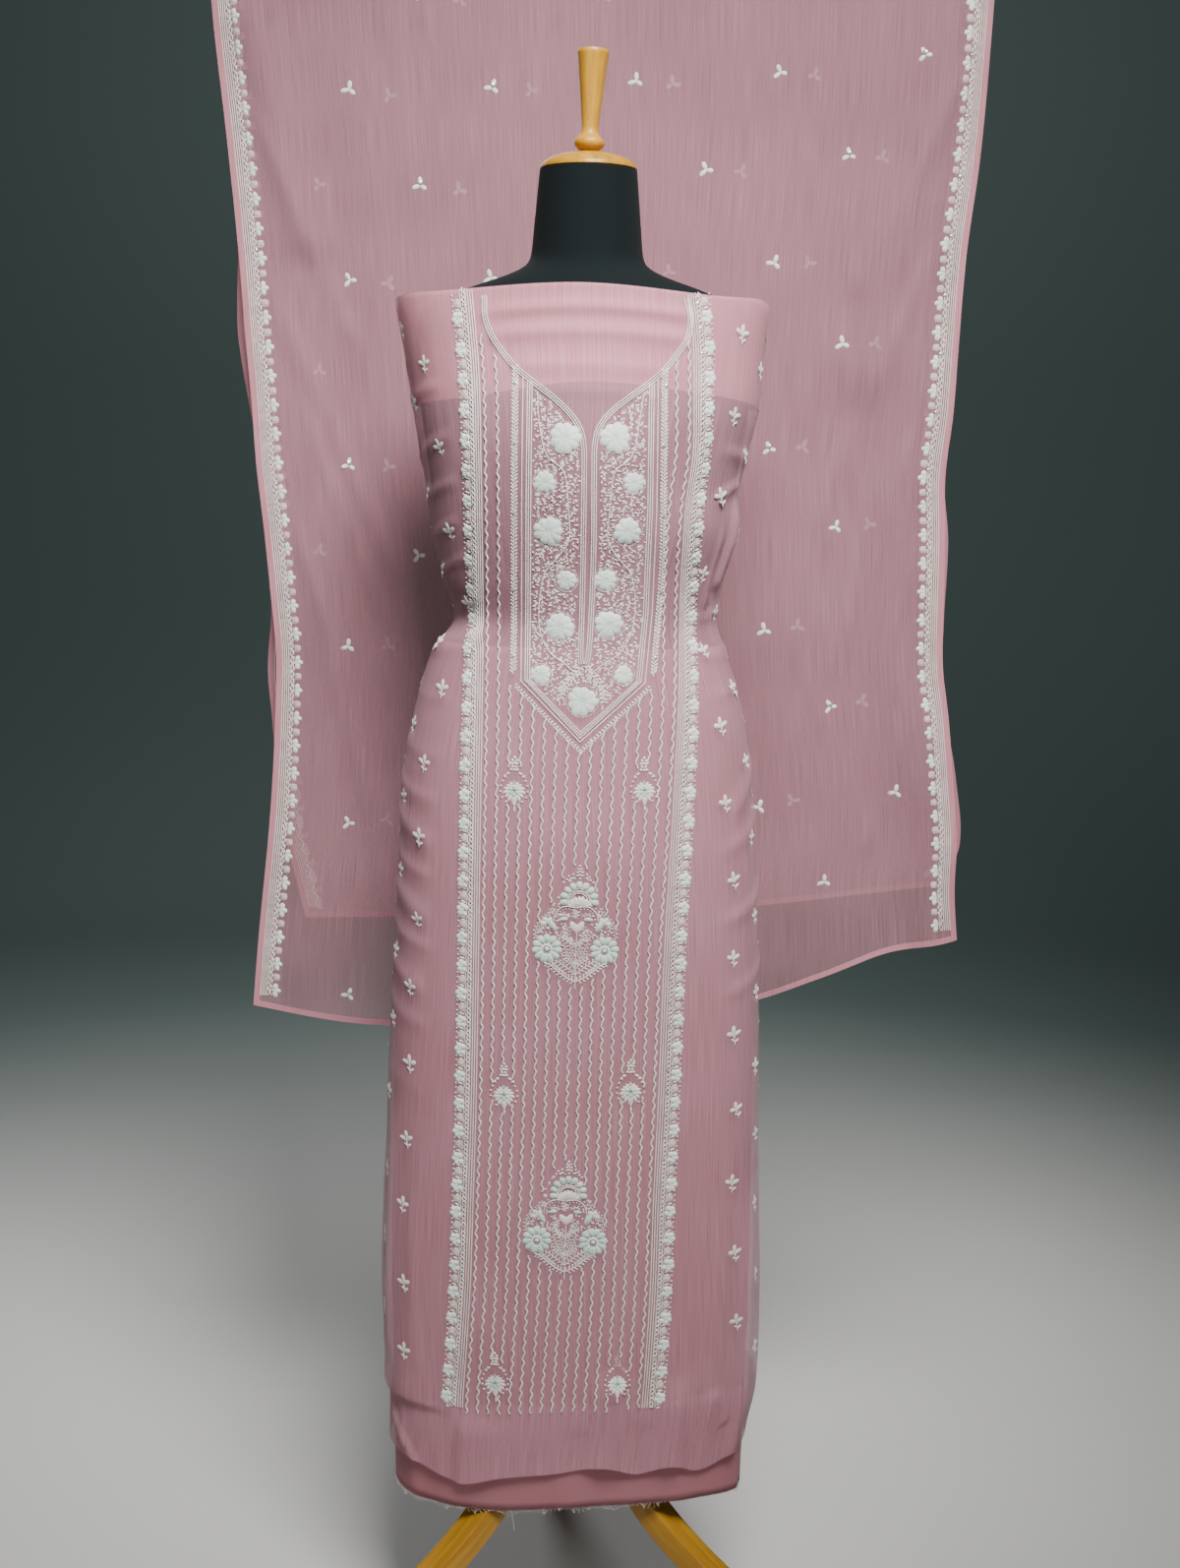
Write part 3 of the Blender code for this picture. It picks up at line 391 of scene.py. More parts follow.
def upright(across: np.ndarray | float, height: np.ndarray) -> np.ndarray:
    """A path up a cloth, at a distance across or at one for each height."""
    return np.stack(np.broadcast_arrays(across, height), -1)


# ---------------------------------------------------------------- cloth surfaces
@dataclass(frozen=True)
class WornCloth:
    """Cloth round the form: its sections, its lower and upper edges, and its folds in degrees."""

    levels: Sequence[Level]
    lower: Sequence[EdgeHeight]
    upper: Sequence[EdgeHeight]
    folds: Sequence[Crease]

    def place(self, angle: np.ndarray, height: np.ndarray, lift: np.ndarray | float = 0.0) -> np.ndarray:
        """Points of the outer surface.

        Args:
            angle: Degrees round the form, 0 at the front and 90 at the viewer's right.
            height: Height above the floor.
            lift: Distance moved out from the surface.

        Returns:
            The points, with x, y and z on the last axis.
        """
        angle, height = np.broadcast_arrays(np.asarray(angle, float), np.asarray(height, float))
        half, front, back, power, shift = np.moveaxis(read_table(self.levels, height), -1, 0)
        turned = np.radians((angle + 180) % 360 - 180)
        across, toward = np.sin(turned), np.cos(turned)
        depth = np.where(toward > 0, front, back)
        square = (np.abs(across) ** power + np.abs(toward) ** power) ** (-1 / power)
        normal = np.stack([depth * across, -half * toward])
        normal /= np.hypot(*normal)
        rise = lift + crease_lift(half * turned, height, half * math.pi / 180, self.folds)
        side = shift + half * square * across + normal[0] * rise
        return np.stack([side, FORM_Y - depth * square * toward + normal[1] * rise, height], -1)

    def edge(self, table: Sequence[EdgeHeight], angle: np.ndarray) -> np.ndarray:
        """Heights of an edge at angles round the form."""
        return read_table(table, (np.asarray(angle) + 180) % 360 - 180)[..., 0]

    def angle_at(self, across: np.ndarray, height: np.ndarray) -> np.ndarray:
        """Angles of places on the front half, given by their distance to the right of the middle."""
        half, _, _, power, shift = np.moveaxis(read_table(self.levels, height), -1, 0)
        share = np.clip((across - shift) / half, -0.999, 0.999)
        return np.degrees(np.arctan2(share, (1 - np.abs(share) ** power) ** (1 / power)))

    def beside(self, angle: np.ndarray, height: np.ndarray, distance: np.ndarray | float) -> np.ndarray:
        """Angles at a distance along the cloth to the right of places on it."""
        reach = self.place(angle + 0.5, height) - self.place(angle - 0.5, height)
        return angle + distance / np.linalg.norm(reach, axis=-1)

    def sheet(self, angles: np.ndarray, shares: np.ndarray, lift: np.ndarray | float = 0.0) -> tuple:
        """Grid of points from the lower edge to the upper one.

        Args:
            angles: The columns' angles.
            shares: The rows' shares of the way up.
            lift: The distance moved out at each angle.

        Returns:
            The points and their flat places in metres, as two grids.
        """
        low, high = self.edge(self.lower, angles), self.edge(self.upper, angles)
        height = low + shares[:, None] * (high - low)
        flat = np.stack([np.broadcast_to(np.radians(angles) * 0.17, height.shape), height], -1)
        return self.place(np.broadcast_to(angles, height.shape), height, lift), flat


@dataclass(frozen=True)
class HangingLayer:
    """One layer of the dupatta: its edges, its hem, its folds and the plane in which it hangs."""

    drops: Sequence[Drop]
    hem: Sequence[HemHeight]
    folds: Sequence[Crease]
    plane: float

    def edges_at(self, height: np.ndarray) -> tuple[np.ndarray, np.ndarray]:
        """Left and right edge at heights."""
        return tuple(np.moveaxis(read_table(self.drops, height), -1, 0))

    def hem_at(self, share: np.ndarray | float) -> np.ndarray:
        """Heights of the hem at shares of the width."""
        return read_table(self.hem, share)[..., 0]

    def place(self, share: np.ndarray, height: np.ndarray, lift: np.ndarray | float = 0.0) -> np.ndarray:
        """Points of the layer at shares of its width, moved forward by lift."""
        share, height = np.broadcast_arrays(np.asarray(share, float), np.asarray(height, float))
        left, right = self.edges_at(height)
        width = right - left
        depth = self.plane - lift - crease_lift(share * width, height, width, self.folds)
        return np.stack([left + share * width, depth, height], -1)

    def share_at(self, distance: np.ndarray, height: np.ndarray) -> np.ndarray:
        """Shares of the width at distances in from the left edge, or from the right one if negative."""
        left, right = self.edges_at(height)
        return np.where(distance < 0, 1 + distance / (right - left), distance / (right - left))


# ---------------------------------------------------------------- making objects
def link(name: str, data: bpy.types.ID) -> Object:
    """Put a mesh, a lamp or a camera in the scene as an object of that name."""
    obj = bpy.data.objects.new(name, data)
    bpy.context.scene.collection.objects.link(obj)
    return obj


def sheet_mesh(name: str, points: np.ndarray, flat: np.ndarray, closed: bool = False) -> Mesh:
    """Mesh of quads on a grid of points, with a UV map in metres.

    Args:
        name: The mesh's name.
        points: Rows of points from the bottom up; of a closed tube, the last column repeats the first.
        flat: The points' places on the flat cloth.
        closed: Whether each row's end joins its start.

    Returns:
        The mesh, shaded smooth.
    """
    rows, columns = points.shape[:2]
    ring = columns - 1 if closed else columns
    row, column = np.meshgrid(np.arange(rows - 1), np.arange(columns - 1), indexing="ij")
    corner_row = np.stack([row, row, row + 1, row + 1], -1)
    corner_column = np.stack([column, column + 1, column + 1, column], -1)
    faces = (corner_row * ring + corner_column % ring).reshape(-1, 4)
    mesh = bpy.data.meshes.new(name)
    mesh.from_pydata(points[:, :ring].reshape(-1, 3).tolist(), [], faces.tolist())
    mesh.uv_layers.new(name="cloth").uv.foreach_set("vector", flat[corner_row, corner_column].ravel())
    mesh.shade_smooth()
    return mesh


def set_attribute(mesh: Mesh, name: str, values: np.ndarray) -> None:
    """Give a mesh's points an attribute of one number or three numbers each."""
    vector = np.ndim(values) > 1
    kind = "FLOAT_VECTOR" if vector else "FLOAT"
    data = mesh.attributes.new(name, kind, "POINT").data
    data.foreach_set("vector" if vector else "value", np.asarray(values, float).ravel())


def joined(name: str, meshes: Sequence[Mesh]) -> Mesh:
    """One mesh made of several, which are used up."""
    build = bmesh.new()
    for mesh in meshes:
        build.from_mesh(mesh)
        bpy.data.meshes.remove(mesh)
    whole = bpy.data.meshes.new(name)
    build.to_mesh(whole)
    build.free()
    return whole


def points_of(mesh: Mesh) -> np.ndarray:
    """The places of a mesh's points."""
    found = np.empty(len(mesh.vertices) * 3)
    mesh.vertices.foreach_get("co", found)
    return found.reshape(-1, 3)


def baked(obj: Object) -> Mesh:
    """A plain mesh of what an object's modifiers make."""
    depsgraph = bpy.context.evaluated_depsgraph_get()
    return bpy.data.meshes.new_from_object(
        obj.evaluated_get(depsgraph), preserve_all_data_layers=True, depsgraph=depsgraph
    )


def weld(mesh: Mesh, sharp: float) -> None:
    """Merge a closed mesh's doubled points, face it outward, and sharpen edges over an angle in degrees."""
    shape = bmesh.new()
    shape.from_mesh(mesh)
    bmesh.ops.remove_doubles(shape, verts=shape.verts, dist=1e-6)
    bmesh.ops.recalc_face_normals(shape, faces=shape.faces)
    shape.to_mesh(mesh)
    shape.free()
    mesh.set_sharp_from_angle(angle=math.radians(sharp))


def revolve(radius: np.ndarray, height: np.ndarray, turn: np.ndarray) -> np.ndarray:
    """Grid of points of a half section turned about the Z axis."""
    radius, height = radius[:, None], height[:, None]
    return np.stack(np.broadcast_arrays(radius * np.cos(turn), radius * np.sin(turn), height), -1)


def capped(radius: float, low: float, high: float, edge: float) -> list[tuple[float, float]]:
    """Half section of a straight bar with flat ends and cut corners."""
    return [
        (0, low), (radius - edge, low), (radius, low + edge),
        (radius, high - edge), (radius - edge, high), (0, high),
    ]


def turned_mesh(name: str, profile: Sequence[tuple[float, float]], sides: int) -> Mesh:
    """Closed turned body about the Z axis, from its half section.

    Args:
        name: The mesh's name.
        profile: (radius, height) points from the axis at the bottom to the axis at the top.
        sides: Number of sides.

    Returns:
        The mesh, with its poles closed and sharp turns left sharp.
    """
    radius, height = np.array(profile, float).T
    turn = np.linspace(0, math.tau, sides + 1)
    run = run_of(np.array(profile, float))
    flat = np.stack(np.broadcast_arrays(turn * radius.max(), run[:, None]), -1)
    mesh = sheet_mesh(name, revolve(radius, height, turn), flat, closed=True)
    weld(mesh, 40)
    return mesh


def smooth_path(knots: Sequence[tuple[float, float]], step: float) -> np.ndarray:
    """Evenly spaced points on a smooth curve through knots.

    Args:
        knots: Points of the curve.
        step: Spacing of the points that are returned.

    Returns:
        An array of points, the first and last knot among them.
    """
    knots = np.array(knots, float)
    ends = np.vstack([2 * knots[0] - knots[1], knots, 2 * knots[-1] - knots[-2]])
    pieces = []
    for a, b, c, d in zip(ends, ends[1:], ends[2:], ends[3:]):
        t = np.linspace(0, 1, 24, endpoint=False)[:, None]
        square, cube = (2 * a - 5 * b + 4 * c - d) * t**2, (3 * b - a - 3 * c + d) * t**3
        pieces.append(0.5 * (2 * b + (c - a) * t + square + cube))
    dense = np.vstack([*pieces, knots[-1:]])
    run = run_of(dense)
    at = np.linspace(0, run[-1], max(2, round(run[-1] / step) + 1))
    return np.stack([np.interp(at, run, dense[:, i]) for i in range(dense.shape[1])], -1)


# ---------------------------------------------------------------- nodes
FLOAT, COLOUR, WHOLE = "NodeSocketFloat", "NodeSocketColor", "NodeSocketInt"
GEOMETRY, THING, FINISH = "NodeSocketGeometry", "NodeSocketObject", "NodeSocketMaterial"


def add_node(tree: NodeTree, kind: str, inputs: dict | None = None, **settings: object) -> Node:
    """Add a node, set its properties, and set or link its inputs by name or place.

    Args:
        tree: The node tree.
        kind: The node's type.
        inputs: Values or signals for its inputs.
        settings: Properties of the node.

    Returns:
        The node.
    """
    node = tree.nodes.new(kind)
    for key, value in settings.items():
        setattr(node, key, value)
    for key, value in (inputs or {}).items():
        if isinstance(value, Signal):
            tree.links.new(value.socket, node.inputs[key])
        else:
            node.inputs[key].default_value = value
    return node


class Signal:
    """An output in a node tree; arithmetic on it adds math nodes to that tree."""

    def __init__(self, tree: NodeTree, socket: NodeSocket) -> None:
        """Take an output of a tree's node."""
        self.tree, self.socket = tree, socket

    def calc(self, operation: str, *values: object) -> Signal:
        """This output, then more values, through a math node."""
        return signal(self.tree, "ShaderNodeMath", dict(enumerate((self, *values))), operation=operation)

    def vector(self, operation: str, *values: object) -> Signal:
        """This output, then more values, through a vector math node."""
        inputs = dict(enumerate((self, *values)))
        return signal(self.tree, "ShaderNodeVectorMath", inputs, operation=operation)

    def scaled(self, factor: object) -> Signal:
        """This vector times a number."""
        return signal(self.tree, "ShaderNodeVectorMath", {0: self, "Scale": factor}, operation="SCALE")

    def sine(self) -> Signal:
        """The sine of this number in radians."""
        return self.calc("SINE")

    def __add__(self, other: object) -> Signal:
        """This number plus another."""
        return self.calc("ADD", other)

    def __sub__(self, other: object) -> Signal:
        """This number less another."""
        return self.calc("SUBTRACT", other)

    def __rsub__(self, other: object) -> Signal:
        """Another number less this one."""
        return signal(self.tree, "ShaderNodeMath", {0: other, 1: self}, operation="SUBTRACT")

    def __mul__(self, other: object) -> Signal:
        """This number times another."""
        return self.calc("MULTIPLY", other)

    def __truediv__(self, other: object) -> Signal:
        """This number over another."""
        return self.calc("DIVIDE", other)


def signal(tree: NodeTree, kind: str, inputs: dict | None = None, output: int | str = 0,
           **settings: object) -> Signal:
    """An output of a new node."""
    return Signal(tree, add_node(tree, kind, inputs, **settings).outputs[output])


def noise(place: Signal, scale: float, detail: float = 2.0, **more: float) -> Signal:
    """Noise read at places."""
    inputs = {"Vector": place, "Scale": scale, "Detail": detail, **more}
    return signal(place.tree, "ShaderNodeTexNoise", inputs)


def stretched(place: Signal, x: float, y: float, z: float) -> Signal:
    """Places scaled along each axis."""
    return signal(place.tree, "ShaderNodeMapping", {"Vector": place, "Scale": (x, y, z)})


def ranged(value: Signal, low: float, high: float, **more: float) -> Signal:
    """A number's share of the way from low to high, or the same share between "To Min" and "To Max"."""
    inputs = {"Value": value, "From Min": low, "From Max": high, **more}
    return signal(value.tree, "ShaderNodeMapRange", inputs)


def blend(share: Signal, first: object, second: object) -> Signal:
    """A mix of two colours by a share that is held between 0 and 1."""
    first, second = ((*colour, 1) if isinstance(colour, tuple) else colour for colour in (first, second))
    inputs = {"Factor": share, 6: first, 7: second}
    return signal(share.tree, "ShaderNodeMix", inputs, 2, data_type="RGBA", clamp_factor=True)


def new_tree(name: str, kind: str, inputs: dict, outputs: dict) -> tuple:
    """A node group with named sockets.

    Args:
        name: The group's name.
        kind: The tree's type.
        inputs: Socket type and default by name.
        outputs: Socket type by name.

    Returns:
        The tree, its inputs as signals by name, and its output node.
    """
    tree = bpy.data.node_groups.new(name, kind)
    for title, (socket_kind, default) in inputs.items():
        socket = tree.interface.new_socket(title, in_out="INPUT", socket_type=socket_kind)
        if default is not None:
            socket.default_value = default
    for title, socket_kind in outputs.items():
        tree.interface.new_socket(title, in_out="OUTPUT", socket_type=socket_kind)
    source = tree.nodes.new("NodeGroupInput")
    given = {title: Signal(tree, source.outputs[title]) for title in inputs}
    return tree, given, tree.nodes.new("NodeGroupOutput")


def link_all(tree: NodeTree, node: Node, signals: dict[str, Signal]) -> None:
    """Link signals to a node's inputs by name."""
    for title, value in signals.items():
        tree.links.new(value.socket, node.inputs[title])


def attribute(tree: NodeTree, name: str, kind: str = "FLOAT") -> Signal:
    """A named attribute of the guide."""
    return signal(tree, "GeometryNodeInputNamedAttribute", {"Name": name}, data_type=kind)


def dress_and_end(made: Signal, given: dict[str, Signal], result: Node) -> None:
    """End a geometry tree: real geometry in the finish that was given."""
    real = signal(made.tree, "GeometryNodeRealizeInstances", {"Geometry": made})
    dressed = signal(made.tree, "GeometryNodeSetMaterial", {"Geometry": real, "Material": given["Finish"]})
    made.tree.links.new(dressed.socket, result.inputs[0])


def thread_tree() -> None:
    """Tree that lays a round thread along a guide, straight or waving from side to side."""
    tree, given, result = new_tree("sewn_thread", "GeometryNodeTree", {
        "Guide": (GEOMETRY, None), "Step": (FLOAT, 0.004), "Swing": (FLOAT, 0.0), "Period": (FLOAT, 0.0111),
        "Lift": (FLOAT, 0.0004), "Radius": (FLOAT, 0.0008), "Sides": (WHOLE, 5), "Finish": (FINISH, None),
    }, {"Thread": GEOMETRY})
    curve = signal(tree, "GeometryNodeMeshToCurve", {0: given["Guide"]})
    even = signal(tree, "GeometryNodeResampleCurve", {"Curve": curve, "Length": given["Step"]}, mode="LENGTH")
    normal, run = attribute(tree, "cloth_normal", "FLOAT_VECTOR"), attribute(tree, "run")
    side = normal.vector("CROSS_PRODUCT", signal(tree, "GeometryNodeInputTangent")).vector("NORMALIZE")
    turn = run / given["Period"] * math.tau
    wave = (turn.sine() + (turn * 2.0).sine() * WAVE_KINK) * given["Swing"]
    offset = side.scaled(wave).vector("ADD", normal.scaled(given["Lift"]))
    moved = signal(tree, "GeometryNodeSetPosition", {"Geometry": even, "Offset": offset})
    kept = signal(tree, "GeometryNodeStoreNamedAttribute", {"Geometry": moved, "Name": "along", "Value": run},
                  data_type="FLOAT", domain="POINT")
    ring = signal(tree, "GeometryNodeCurvePrimitiveCircle", {
        "Resolution": given["Sides"], "Radius": given["Radius"],
    })
    tube = signal(tree, "GeometryNodeCurveToMesh", {"Curve": kept, "Profile Curve": ring, "Fill Caps": True})
    dress_and_end(signal(tree, "GeometryNodeSetShadeSmooth", {"Geometry": tube}), given, result)


def motif_tree() -> None:
    """Tree that sets a motif at each point of a guide, upright, uneven in size and a little askew."""
    tree, given, result = new_tree("motif_scatter", "GeometryNodeTree", {
        "Guide": (GEOMETRY, None), "Motif": (THING, None), "Lift": (FLOAT, 0.0), "Unevenness": (FLOAT, 0.05),
        "Sway": (FLOAT, 0.05), "Seed": (WHOLE, 1), "Finish": (FINISH, None),
    }, {"Motifs": GEOMETRY})
    normal, upward = (attribute(tree, name, "FLOAT_VECTOR") for name in ("cloth_normal", "upward"))
    seed, uneven, sway = (given[title] for title in ("Seed", "Unevenness", "Sway"))

    def chance(low: Signal, high: Signal, seed: Signal) -> Signal:
        """A random number for each point."""
        return signal(tree, "FunctionNodeRandomValue", {2: low, 3: high, "Seed": seed}, 1, data_type="FLOAT")

    lifted = signal(tree, "GeometryNodeSetPosition", {
        "Geometry": given["Guide"], "Offset": normal.scaled(given["Lift"])})
    stood = signal(tree, "FunctionNodeAxesToRotation", {0: normal, 1: upward},
                   primary_axis="Z", secondary_axis="Y")
    size = attribute(tree, "size") * chance(1.0 - uneven, uneven + 1.0, seed)
    lean = signal(tree, "ShaderNodeCombineXYZ", {2: chance(sway * -1.0, sway, seed + 7.0)})
    askew = signal(tree, "FunctionNodeEulerToRotation", {0: lean})
    turned = signal(tree, "FunctionNodeRotateRotation", {0: stood, 1: askew}, rotation_space="LOCAL")
    motif = signal(tree, "GeometryNodeObjectInfo", {"Object": given["Motif"]}, "Geometry")
    placed = signal(tree, "GeometryNodeInstanceOnPoints", {
        "Points": lifted, "Instance": motif, "Rotation": turned, "Scale": size})
    dress_and_end(placed, given, result)


class Growth(Enum):
    """The trees that grow sewn work from a guide."""

    THREAD = "sewn_thread"
    SCATTER = "motif_scatter"


def grow(name: str, guide: Mesh, kind: Growth, values: dict) -> Object:
    """Make a plain mesh object from a guide with one of the trees.

    Args:
        name: The object's name.
        guide: The mesh that the tree reads; it is used up.
        kind: Which tree.
        values: Values of the tree's inputs by name.

    Returns:
        The object, which has no modifier.
    """
    tree = bpy.data.node_groups[kind.value]
    carrier = link(name + "_guide", guide)
    modifier = carrier.modifiers.new("grow", "NODES")
    modifier.node_group = tree
    for socket in tree.interface.items_tree:
        if socket.item_type == "SOCKET" and socket.in_out == "INPUT" and socket.name in values:
            modifier[socket.identifier] = values[socket.name]
    made = baked(carrier)
    made.name = name
    bpy.data.objects.remove(carrier, do_unlink=True)
    bpy.data.meshes.remove(guide)
    return link(name, made)


# ---------------------------------------------------------------- finishes
def weave_group() -> None:
    """Shader group for woven cloth: crinkle streaks up the cloth, cloudy patches and a fine weave."""
    tree, given, result = new_tree("woven_cloth", "ShaderNodeTree", {
        "Colour": (COLOUR, (0.5, 0.3, 0.3, 1)), "Streak Colour": (COLOUR, (0.6, 0.4, 0.4, 1)),
        "Crinkle": (FLOAT, 1.0), "Threads per metre": (FLOAT, 1600.0),
        "Opacity": (FLOAT, 1.0), "Opacity Change": (FLOAT, 0.0),
    }, {"Colour": COLOUR, "Opacity": FLOAT, "Height": FLOAT, "Roughness": FLOAT})
    place = signal(tree, "ShaderNodeUVMap", uv_map="cloth")
    streak = noise(stretched(place, 430.0, 5.0, 1.0), 1.0, 1.0, Roughness=0.55)
    hair = noise(stretched(place, 1300.0, 16.0, 1.0), 1.0, 0.0)
    cloud = noise(place, 7.0, 1.0)
    across, along = (signal(tree, "ShaderNodeSeparateXYZ", {0: place}, axis) for axis in (0, 1))
    pleat = (across * (math.tau / PLEAT_PITCH) + streak * 16.0).sine() * 0.16 + 0.5
    crinkle = streak * 0.14 + hair * 0.44 + pleat * 0.4
    turns = given["Threads per metre"] * math.pi
    weave = (across * turns).sine() * (along * turns).sine()
    fibre = (crinkle - 0.5) * given["Crinkle"]
    shade = fibre * 1.9 + (cloud - 0.5) * 0.55 + weave * 0.05 + 0.5
    opacity = given["Opacity"] + (shade - 0.5) * given["Opacity Change"]
    link_all(tree, result, {
        "Colour": blend(shade, given["Colour"], given["Streak Colour"]),
        "Opacity": signal(tree, "ShaderNodeClamp", {0: opacity}),
        "Height": crinkle * given["Crinkle"] + weave * 0.1, "Roughness": 0.9 - fibre * 0.5,
    })


def grain_group() -> None:
    """Shader group for wood: fibres, growth bands and pores along the grain attribute's first measure."""
    tree, given, result = new_tree("wood_grain", "ShaderNodeTree", {
        "Light": (COLOUR, (0.5, 0.3, 0.1, 1)), "Dark": (COLOUR, (0.3, 0.15, 0.04, 1)), "Scale": (FLOAT, 1.0),
    }, {"Colour": COLOUR, "Height": FLOAT, "Roughness": FLOAT})
    place = signal(tree, "ShaderNodeAttribute", None, "Vector", attribute_name="grain").scaled(given["Scale"])
    tone = ranged(noise(stretched(place, 7.0, 95.0, 95.0), 1.0, 4.0, Distortion=0.8), 0.32, 0.68)
    specks = ranged(noise(stretched(place, 60.0, 900.0, 900.0), 1.0), 0.58, 0.72)
    dark = tone * 0.75 + specks * 0.5
    link_all(tree, result, {
        "Colour": blend(dark, given["Light"], given["Dark"]), "Height": dark * -1.0,
        "Roughness": dark * 0.14 + 0.3,
    })


def new_material(name: str, **values: object) -> tuple:
    """A material, its tree and its shader, with values on the shader's own sockets."""
    material = bpy.data.materials.new(name)
    material.use_nodes = True
    shader = material.node_tree.nodes["Principled BSDF"]
    for key, value in values.items():
        shader.inputs[key.replace("_", " ")].default_value = value
    return material, material.node_tree, shader


def use_group(tree: NodeTree, name: str, inputs: dict) -> dict[str, Signal]:
    """The outputs, by name, of a shader group in a material."""
    node = tree.nodes.new("ShaderNodeGroup")
    node.node_tree = bpy.data.node_groups[name]
    for key, value in inputs.items():
        node.inputs[key].default_value = value
    return {socket.name: Signal(tree, socket) for socket in node.outputs}


def coat(tree: NodeTree, shader: Node, colour: Signal, roughness: Signal,
         height: Signal | None = None, depth: float = 0.0) -> None:
    """Link a finish to its shader: colour, roughness, and a bump whose depth is in metres."""
    link_all(tree, shader, {"Base Color": colour, "Roughness": roughness})
    if height is not None:
        normal = signal(tree, "ShaderNodeBump", {"Height": height, "Distance": depth, "Strength": 1.0})
        link_all(tree, shader, {"Normal": normal})


@dataclass(frozen=True)
class ClothFinish:
    """A woven cloth: its ground and streak colours, how much light it stops, and its crinkle."""

    name: str
    ground: tuple[float, float, float]
    streak: tuple[float, float, float]
    opacity: float
    opacity_change: float
    crinkle: float
    depth: float
    sheen: float = 0.25

    def material(self) -> Material:
        """The finish as a material."""
        material, tree, shader = new_material(
            self.name, Sheen_Weight=self.sheen, Sheen_Roughness=0.5,
            Sheen_Tint=(*(0.3 + 0.5 * channel for channel in self.streak), 1),
            Specular_IOR_Level=0.1 + 0.7 * self.sheen,
        )
        cloth = use_group(tree, "woven_cloth", {
            "Colour": (*self.ground, 1), "Streak Colour": (*self.streak, 1), "Crinkle": self.crinkle,
            "Opacity": self.opacity, "Opacity Change": self.opacity_change,
        })
        coat(tree, shader, cloth["Colour"], cloth["Roughness"], cloth["Height"], self.depth)
        if self.opacity < 1:
            link_all(tree, shader, {"Alpha": cloth["Opacity"]})
        return material


@dataclass(frozen=True)
class WoodFinish:
    """Varnished wood: its light and dark colours, and the fineness of its grain."""

    name: str
    light: tuple[float, float, float]
    dark: tuple[float, float, float]
    scale: float = 1.0

    def material(self) -> Material:
        """The finish as a material."""
        material, tree, shader = new_material(
            self.name, Coat_Weight=0.2, Coat_Roughness=0.26, Specular_IOR_Level=0.3,
        )
        grain = use_group(tree, "wood_grain", {
            "Light": (*self.light, 1), "Dark": (*self.dark, 1), "Scale": self.scale,
        })
        coat(tree, shader, grain["Colour"], grain["Roughness"], grain["Height"], 0.0002)
        return material


@dataclass(frozen=True)
class SteelFinish:
    """Steel brushed along the rail."""

    name: str
    colour: tuple[float, float, float]

    def material(self) -> Material:
        """The finish as a material."""
        material, tree, shader = new_material(self.name, Metallic=1.0)
        place = signal(tree, "ShaderNodeTexCoord", None, "Object")
        brush = noise(stretched(place, 12.0, 900.0, 900.0), 1.0, 3.0)
        dull = tuple(0.75 * channel for channel in self.colour)
        coat(tree, shader, blend(brush, dull, self.colour), brush * 0.25 + 0.2, brush, 0.00005)
        return material


GEORGETTE, TURNED_GEORGETTE, BINDING_GEORGETTE, SHADED_DUPATTA_CLOTH, BOTTOM_COTTON, BLACK_JERSEY = rows_of(
    ClothFinish,
    ("dusty_pink_georgette", (0.48, 0.212, 0.26), (0.62, 0.343, 0.396), 0.54, 0.26, 1.0, 0.0004),
    ("turned_pink_georgette", (0.66, 0.195, 0.255), (0.82, 0.33, 0.39), 0.88, 0.2, 1.0, 0.0004),
    ("bound_pink_georgette", (0.56, 0.2, 0.25), (0.68, 0.32, 0.37), 0.72, 0.2, 1.0, 0.0004),
    # the dupatta's georgette is the kameez georgette made darker: painted shade of the dupatta hanging back
    # behind the form
    ("sheer_pink_georgette", (0.4, 0.172, 0.21), (0.52, 0.272, 0.315), 0.46, 0.26, 1.0, 0.0004),
    ("plain_pink_cotton", (0.31, 0.118, 0.138), (0.37, 0.165, 0.185), 1.0, 0.0, 0.35, 0.0003, 0.15),
    ("black_jersey", (0.0026, 0.005, 0.0056), (0.006, 0.01, 0.011), 1.0, 0.0, 0.25, 0.0003, 0.04),
)
LIGHT_BEECH = WoodFinish("varnished_beech_finial", (0.56, 0.29, 0.026), (0.38, 0.17, 0.014), 1.4)
DARK_BEECH = WoodFinish("varnished_beech_stand", (0.46, 0.235, 0.018), (0.25, 0.115, 0.008))
STEEL = SteelFinish("brushed_steel", (0.52, 0.52, 0.54))


def dress(obj: Object, material: Material) -> Object:
    """Give a piece its material and its slot, and let it move with the whole suit."""
    obj.data.materials.clear()
    obj.data.materials.append(material)
    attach(obj, "root")
    return obj


